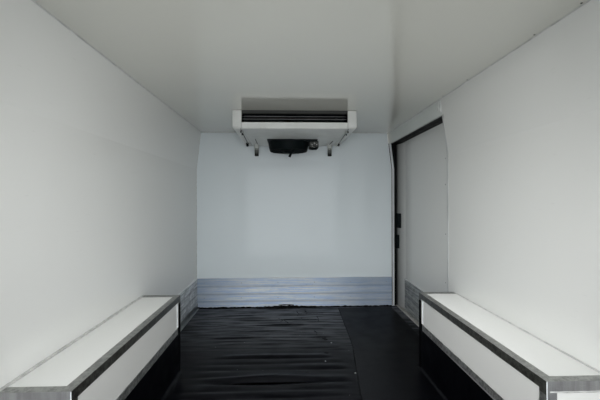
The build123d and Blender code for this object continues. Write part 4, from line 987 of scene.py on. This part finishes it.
# Drains: black rubber hoses pushed over the tray's spouts, below moulded grey collars, and held
# by worm clamps. They are dusty at the top.
def circle(x, y, z, radius, count):
    """Points round a level circle."""
    turns = (math.tau * part / count for part in range(count))
    return [(x + radius * math.cos(turn), y + radius * math.sin(turn), z) for turn in turns]


drain_y, drain_places = 1.1, (-0.292, 0.249)
hose_rubber = dusty_top("hose_rubber", 1.212, 1.256, (0.010, 0.011, 0.010), (0.20, 0.21, 0.20), 0.003)
pipe_grey = mottled(
    "pipe_grey", (0.52, 0.54, 0.52), (0.42, 0.435, 0.425), (0.02, 4), bump=(0.003, 2, 0.0001), Roughness=0.55
)
eased("drain_hoses", 0.0015, hose_rubber)
collar_paths = [((x, drain_y, 1.262), (x, drain_y, 1.2865)) for x in drain_places]
laid("drain_collars", collar_paths, 0.0178, pipe_grey, "white_plastic", Step=0.012, Sides=20)
clamp_paths = [circle(x, drain_y, 1.252, 0.0155, 24) for x in drain_places]
laid("drain_clamps", clamp_paths, 0.0013, zinc, "steel", closed=True, Step=0.004)

# Evaporator fan: black moulded shroud on a flange, a guard of round wires over the rotor, the
# motor on its hub, and a junction box with the wiring tied beside it.
scuffed_plastic = mottled(
    "scuffed_plastic", (0.006, 0.007, 0.007), (0.15, 0.155, 0.15), (0.008, 5, 0.7), (0.42, 0.58),
    bump=(0.004, 3, 0.0004), Specular_IOR_Level=0.2, Roughness=0.5,
)
eased("fan_shroud", 0.0012, black_plastic)
eased("fan_motor", 0.001, black_plastic)
eased("fan_junction_box", 0.002, scuffed_plastic)
eased("fan_rotor", 0.0006, black_plastic)
fan_x, fan_y, guard_level, guard_radius, hub_radius = -0.057, 1.005, 1.2255, 0.131, 0.034
ring_radii = (0.044, 0.054, 0.064, 0.074, 0.084, 0.094, 0.104, 0.114, 0.124, guard_radius)
guard_rings = [circle(fan_x, fan_y, guard_level, radius, 48) for radius in ring_radii]
wire = {"finish": black_plastic, "slot": "black_plastic", "Sides": 6}
laid("guard_rings", guard_rings, 0.0012, instead_of=("fan_guard",), closed=True, Step=0.006, **wire)
flange_corners = ((0.129, 1.136, 0), (-0.191, 1.136, 90), (-0.191, 0.876, 180), (0.129, 0.876, 270))
flange_outline = [
    (corner_x + 0.012 * math.cos(math.radians(turn)), corner_y + 0.012 * math.sin(math.radians(turn)))
    for corner_x, corner_y, start in flange_corners
    for turn in (start + 22.5 * part for part in range(5))
]
plate("fan_flange", flange_outline, 1.2855, 1.2898, black_plastic)
guard_spokes = [
    [
        (fan_x + radius * math.cos(turn), fan_y + radius * math.sin(turn), guard_level - 0.0018)
        for radius in (hub_radius, guard_radius)
    ]
    for turn in (math.tau * part / 8 + 0.2 for part in range(8))
]
laid("guard_spokes", guard_spokes, 0.0017, Step=0.02, **wire)
wire_paths = [
    [(0.090, 0.96, 1.250), (0.100, 0.935, 1.240), (0.125, 0.934, 1.238), (0.150, 0.937, 1.247)],
    [(0.095, 0.99, 1.243), (0.110, 0.965, 1.236), (0.135, 0.96, 1.236), (0.151, 0.985, 1.245)],
    [(0.090, 1.02, 1.252), (0.105, 0.945, 1.2325), (0.132, 0.937, 1.2345), (0.149, 0.950, 1.254)],
]
laid("fan_wiring", wire_paths, 0.0035, black_plastic, "black_plastic", Corner=0.012, Step=0.005)
sleeve_paths = [
    [(0.102, 0.934, 1.268), (0.111, 0.933, 1.264)],
    [(0.122, 0.933, 1.276), (0.127, 0.933, 1.268)],
    [(0.136, 0.934, 1.262), (0.143, 0.934, 1.268)],
    [(0.108, 0.934, 1.252), (0.114, 0.933, 1.254)],
]
laid("wire_sleeves", sleeve_paths, 0.0026, white_sealant, "white_plastic", Step=0.003)

# Rear doorway and doors: a gelcoated frame, with aluminium trim and a sill screwed round the
# opening, and insulated leaves with a plug that fills it. Hinges, lock rods and their keepers
# are zinc plated steel.
frame_gelcoat = Finish("frame_gelcoat", Coat_Weight=0.2, Coat_Roughness=0.35)
dress(moulded(frame_gelcoat, gelcoat_colour(frame_gelcoat, white, 0.3)), "rear_frame")
eased("rear_frame_trim", 0.0006, aluminium)
eased("rear_sill", 0.0006, aluminium)
for side in ("left", "right"):
    eased("rear_" + side + "_door", 0.003, frame_gelcoat, 3)
    eased("rear_" + side + "_door_hinges", 0.001, zinc)
    eased("rear_" + side + "_door_lock", 0.001, zinc)
    eased(side + "_hinge_brackets", 0.0008, zinc)
eased("lock_keepers", 0.001, zinc)

# Timber battens: strips of birch plywood, sawn along their grain and bonded to the laminate
# outside, where the van's frame carries them
plywood = Finish("plywood", Roughness=0.75)
grain = plywood.cloud(0.012, 6, 0.6, (1, 1, 0.06), warp=0.6)
plywood.wear(
    Base_Color=plywood.mix(plywood.levels(grain, 0.35, 0.65), (0.42, 0.28, 0.15), (0.66, 0.50, 0.31)),
    Normal=plywood.relief(grain, 0.0003),
)
for name in ("left_wall_battens", "right_wall_battens", "roof_battens"):
    eased(name, 0.0015, plywood)


# Fasteners: rivets through the kick plates and trims, hexagon bolts in the hinges and brackets,
# wood screws in the battens, and crumbs of grit and drops of water left on the floor.
def dome(tree, given):
    """A rivet's head."""
    ball = step(tree, "GeometryNodeMeshUVSphere", {"Segments": 10, "Rings": 6, "Radius": 1.0})
    size = {"X": given["Head Radius"], "Y": given["Head Radius"], "Z": given["Head Height"]}
    size = step(tree, "ShaderNodeCombineXYZ", size)
    head = step(tree, "GeometryNodeTransform", {"Geometry": ball, "Scale": size})
    return step(tree, "GeometryNodeSetShadeSmooth", {"Geometry": head})


def hexagon(tree, given):
    """A bolt's head on its washer."""
    radius, height = given["Head Radius"], given["Head Height"]
    lift = step(tree, "ShaderNodeMath", {0: height, 1: 0.5}, operation="MULTIPLY")
    lift = step(tree, "ShaderNodeCombineXYZ", {"Z": lift})
    head = step(tree, "GeometryNodeMeshCylinder", {"Vertices": 6, "Radius": radius, "Depth": height})
    head = step(tree, "GeometryNodeTransform", {"Geometry": head, "Translation": lift})
    washer_radius = step(tree, "ShaderNodeMath", {0: radius, 1: 1.35}, operation="MULTIPLY")
    washer = step(tree, "GeometryNodeMeshCylinder", {"Vertices": 16, "Radius": washer_radius, "Depth": 0.002})
    both = tree.nodes.new("GeometryNodeJoinGeometry")
    for part in (washer, head):
        tree.links.new(part, both.inputs[0])
    return both.outputs[0]


def head_tree(name, make_head):
    """Sets a head on every point, turned to the point's aim."""
    tree, given = new_tree(name, Head_Radius="Float", Head_Height="Float")
    aim = step(tree, "GeometryNodeInputNamedAttribute", {"Name": "aim"}, data_type="FLOAT_VECTOR")
    turned = step(tree, "FunctionNodeAlignRotationToVector", {"Vector": aim}, axis="Z")
    inputs = {"Points": given["Geometry"], "Instance": make_head(tree, given), "Rotation": turned}
    end_tree(tree, step(tree, "GeometryNodeInstanceOnPoints", inputs), given)
    return tree


rivets, bolts = head_tree("rivets", dome), head_tree("bolts", hexagon)


def fixed(name, tree, spots, aim, radius, height, finish, body="lining"):
    """A group of like fasteners whose heads point along aim."""
    sizes = {"Head Radius": radius, "Head Height": height, "Finish": finish.material}
    aims = aim if isinstance(aim, list) else [aim] * len(spots)
    return place(name, grown(name, tree, spots, [], sizes, aims), finish, body)


rivet_metal = metal_finish("rivet_metal", (0.46, 0.47, 0.48), (0.25, 0.25, 0.26), 0.002, 0.4)
grey_screw = metal_finish("grey_screw", (0.20, 0.20, 0.20), (0.10, 0.10, 0.10), 0.002, 0.5)
kick_heights = (0.132, 0.246)
kick_spots = [(-0.70 + 0.28 * index, 1.1915, z) for index in range(6) for z in kick_heights]
fixed("bulkhead_kick_rivets", rivets, kick_spots, (0, -1, 0), 0.0032, 0.0014, rivet_metal)
kick_rows = [(-1, y) for y in (0.26, 0.50, 0.74, 0.98, 1.14)]
kick_rows += [(side, y) for side in (-1, 1) for y in (-0.74, -0.96, -1.14)]
kick_spots = [(side * 0.7515, y, z) for side, y in kick_rows for z in kick_heights]
kick_aims = [(-side, 0, 0) for side, y in kick_rows for z in kick_heights]
fixed("wall_kick_rivets", rivets, kick_spots, kick_aims, 0.0032, 0.0014, rivet_metal)
trim_spots = [(0.7475, 0.2645, z) for z in (1.09, 0.955, 0.70, 0.45)]
fixed("door_trim_screws", rivets, trim_spots, (-1, 0, 0), 0.0028, 0.0014, grey_screw)
ceiling_spots = [(0.716, y, 1.3975) for y in (-0.92, -0.62, -0.44, -0.02, 0.22)]
fixed("ceiling_screws", rivets, ceiling_spots, (0, 0, -1), 0.003, 0.0014, black_plastic)
rear_face = -1.263
rear_spots = [(side * 0.683, rear_face, z) for side in (-1, 1) for z in (0.12, 0.32, 0.52, 0.72, 0.92, 1.12, 1.28)]
rear_spots += [(x, rear_face, z) for z in (1.383, 0.038) for x in (-0.6, -0.36, -0.12, 0.12, 0.36, 0.6)]
fixed("rear_trim_rivets", rivets, rear_spots, (0, -1, 0), 0.0042, 0.0019, rivet_metal)
for side, out in (("left", -1), ("right", 1)):
    strap_spots = [(out * 0.826, y, z) for z in (0.25, 1.19) for y in (-1.44, -1.50, -1.56)]
    fixed(side + "_strap_bolts", bolts, strap_spots, (out, 0, 0), 0.0065, 0.005, zinc, body=side + "_leaf")
    bracket_spots = [(out * 0.782, -1.266, z) for z in (0.235, 0.265, 1.175, 1.205)]
    fixed(side + "_bracket_bolts", bolts, bracket_spots, (0, -1, 0), 0.0055, 0.0045, zinc)
batten_rows = [(-1, -1.15), (-1, 1.18), (1, -1.15)]
batten_spots = [(side * 0.822, y, z) for side, y in batten_rows for z in (0.14, 0.42, 0.70, 0.98)]
batten_aims = [(side, 0, 0) for side, y in batten_rows for _ in range(4)]
fixed("batten_screws", rivets, batten_spots, batten_aims, 0.0045, 0.0012, zinc)
scatter = random.Random(11)
grit = [(scatter.uniform(-0.5, 0.5), scatter.uniform(-0.1, 1.12), 0.0562) for _ in range(24)]
grit_aims = [(scatter.uniform(-0.4, 0.4), 0, 1) for _ in grit]
fixed("floor_grit", rivets, grit, grit_aims, 0.0012, 0.0007, rivet_metal)
wet_spots = [(0.157, 0.553, 0.0560), (0.142, 0.368, 0.0562), (0.026, 0.156, 0.0562), (0.150, 0.575, 0.0560)]
fixed("wet_spots", rivets, wet_spots, (0, 0, 1), 0.0135, 0.0016, seal_rubber)
water = Finish("water_drop", Base_Color=(0.35, 0.37, 0.38, 1), Roughness=0.05)
water.wear(Normal=water.relief(water.cloud(0.002, 2), 0.0002))
drops = [(0.126, 0.268, 0.0565), (0.2546, 0.138, 0.0565), (0.185, 0.50, 0.0565)]
fixed("water_drops", rivets, drops, (0, 0, 1), 0.0042, 0.0026, water)
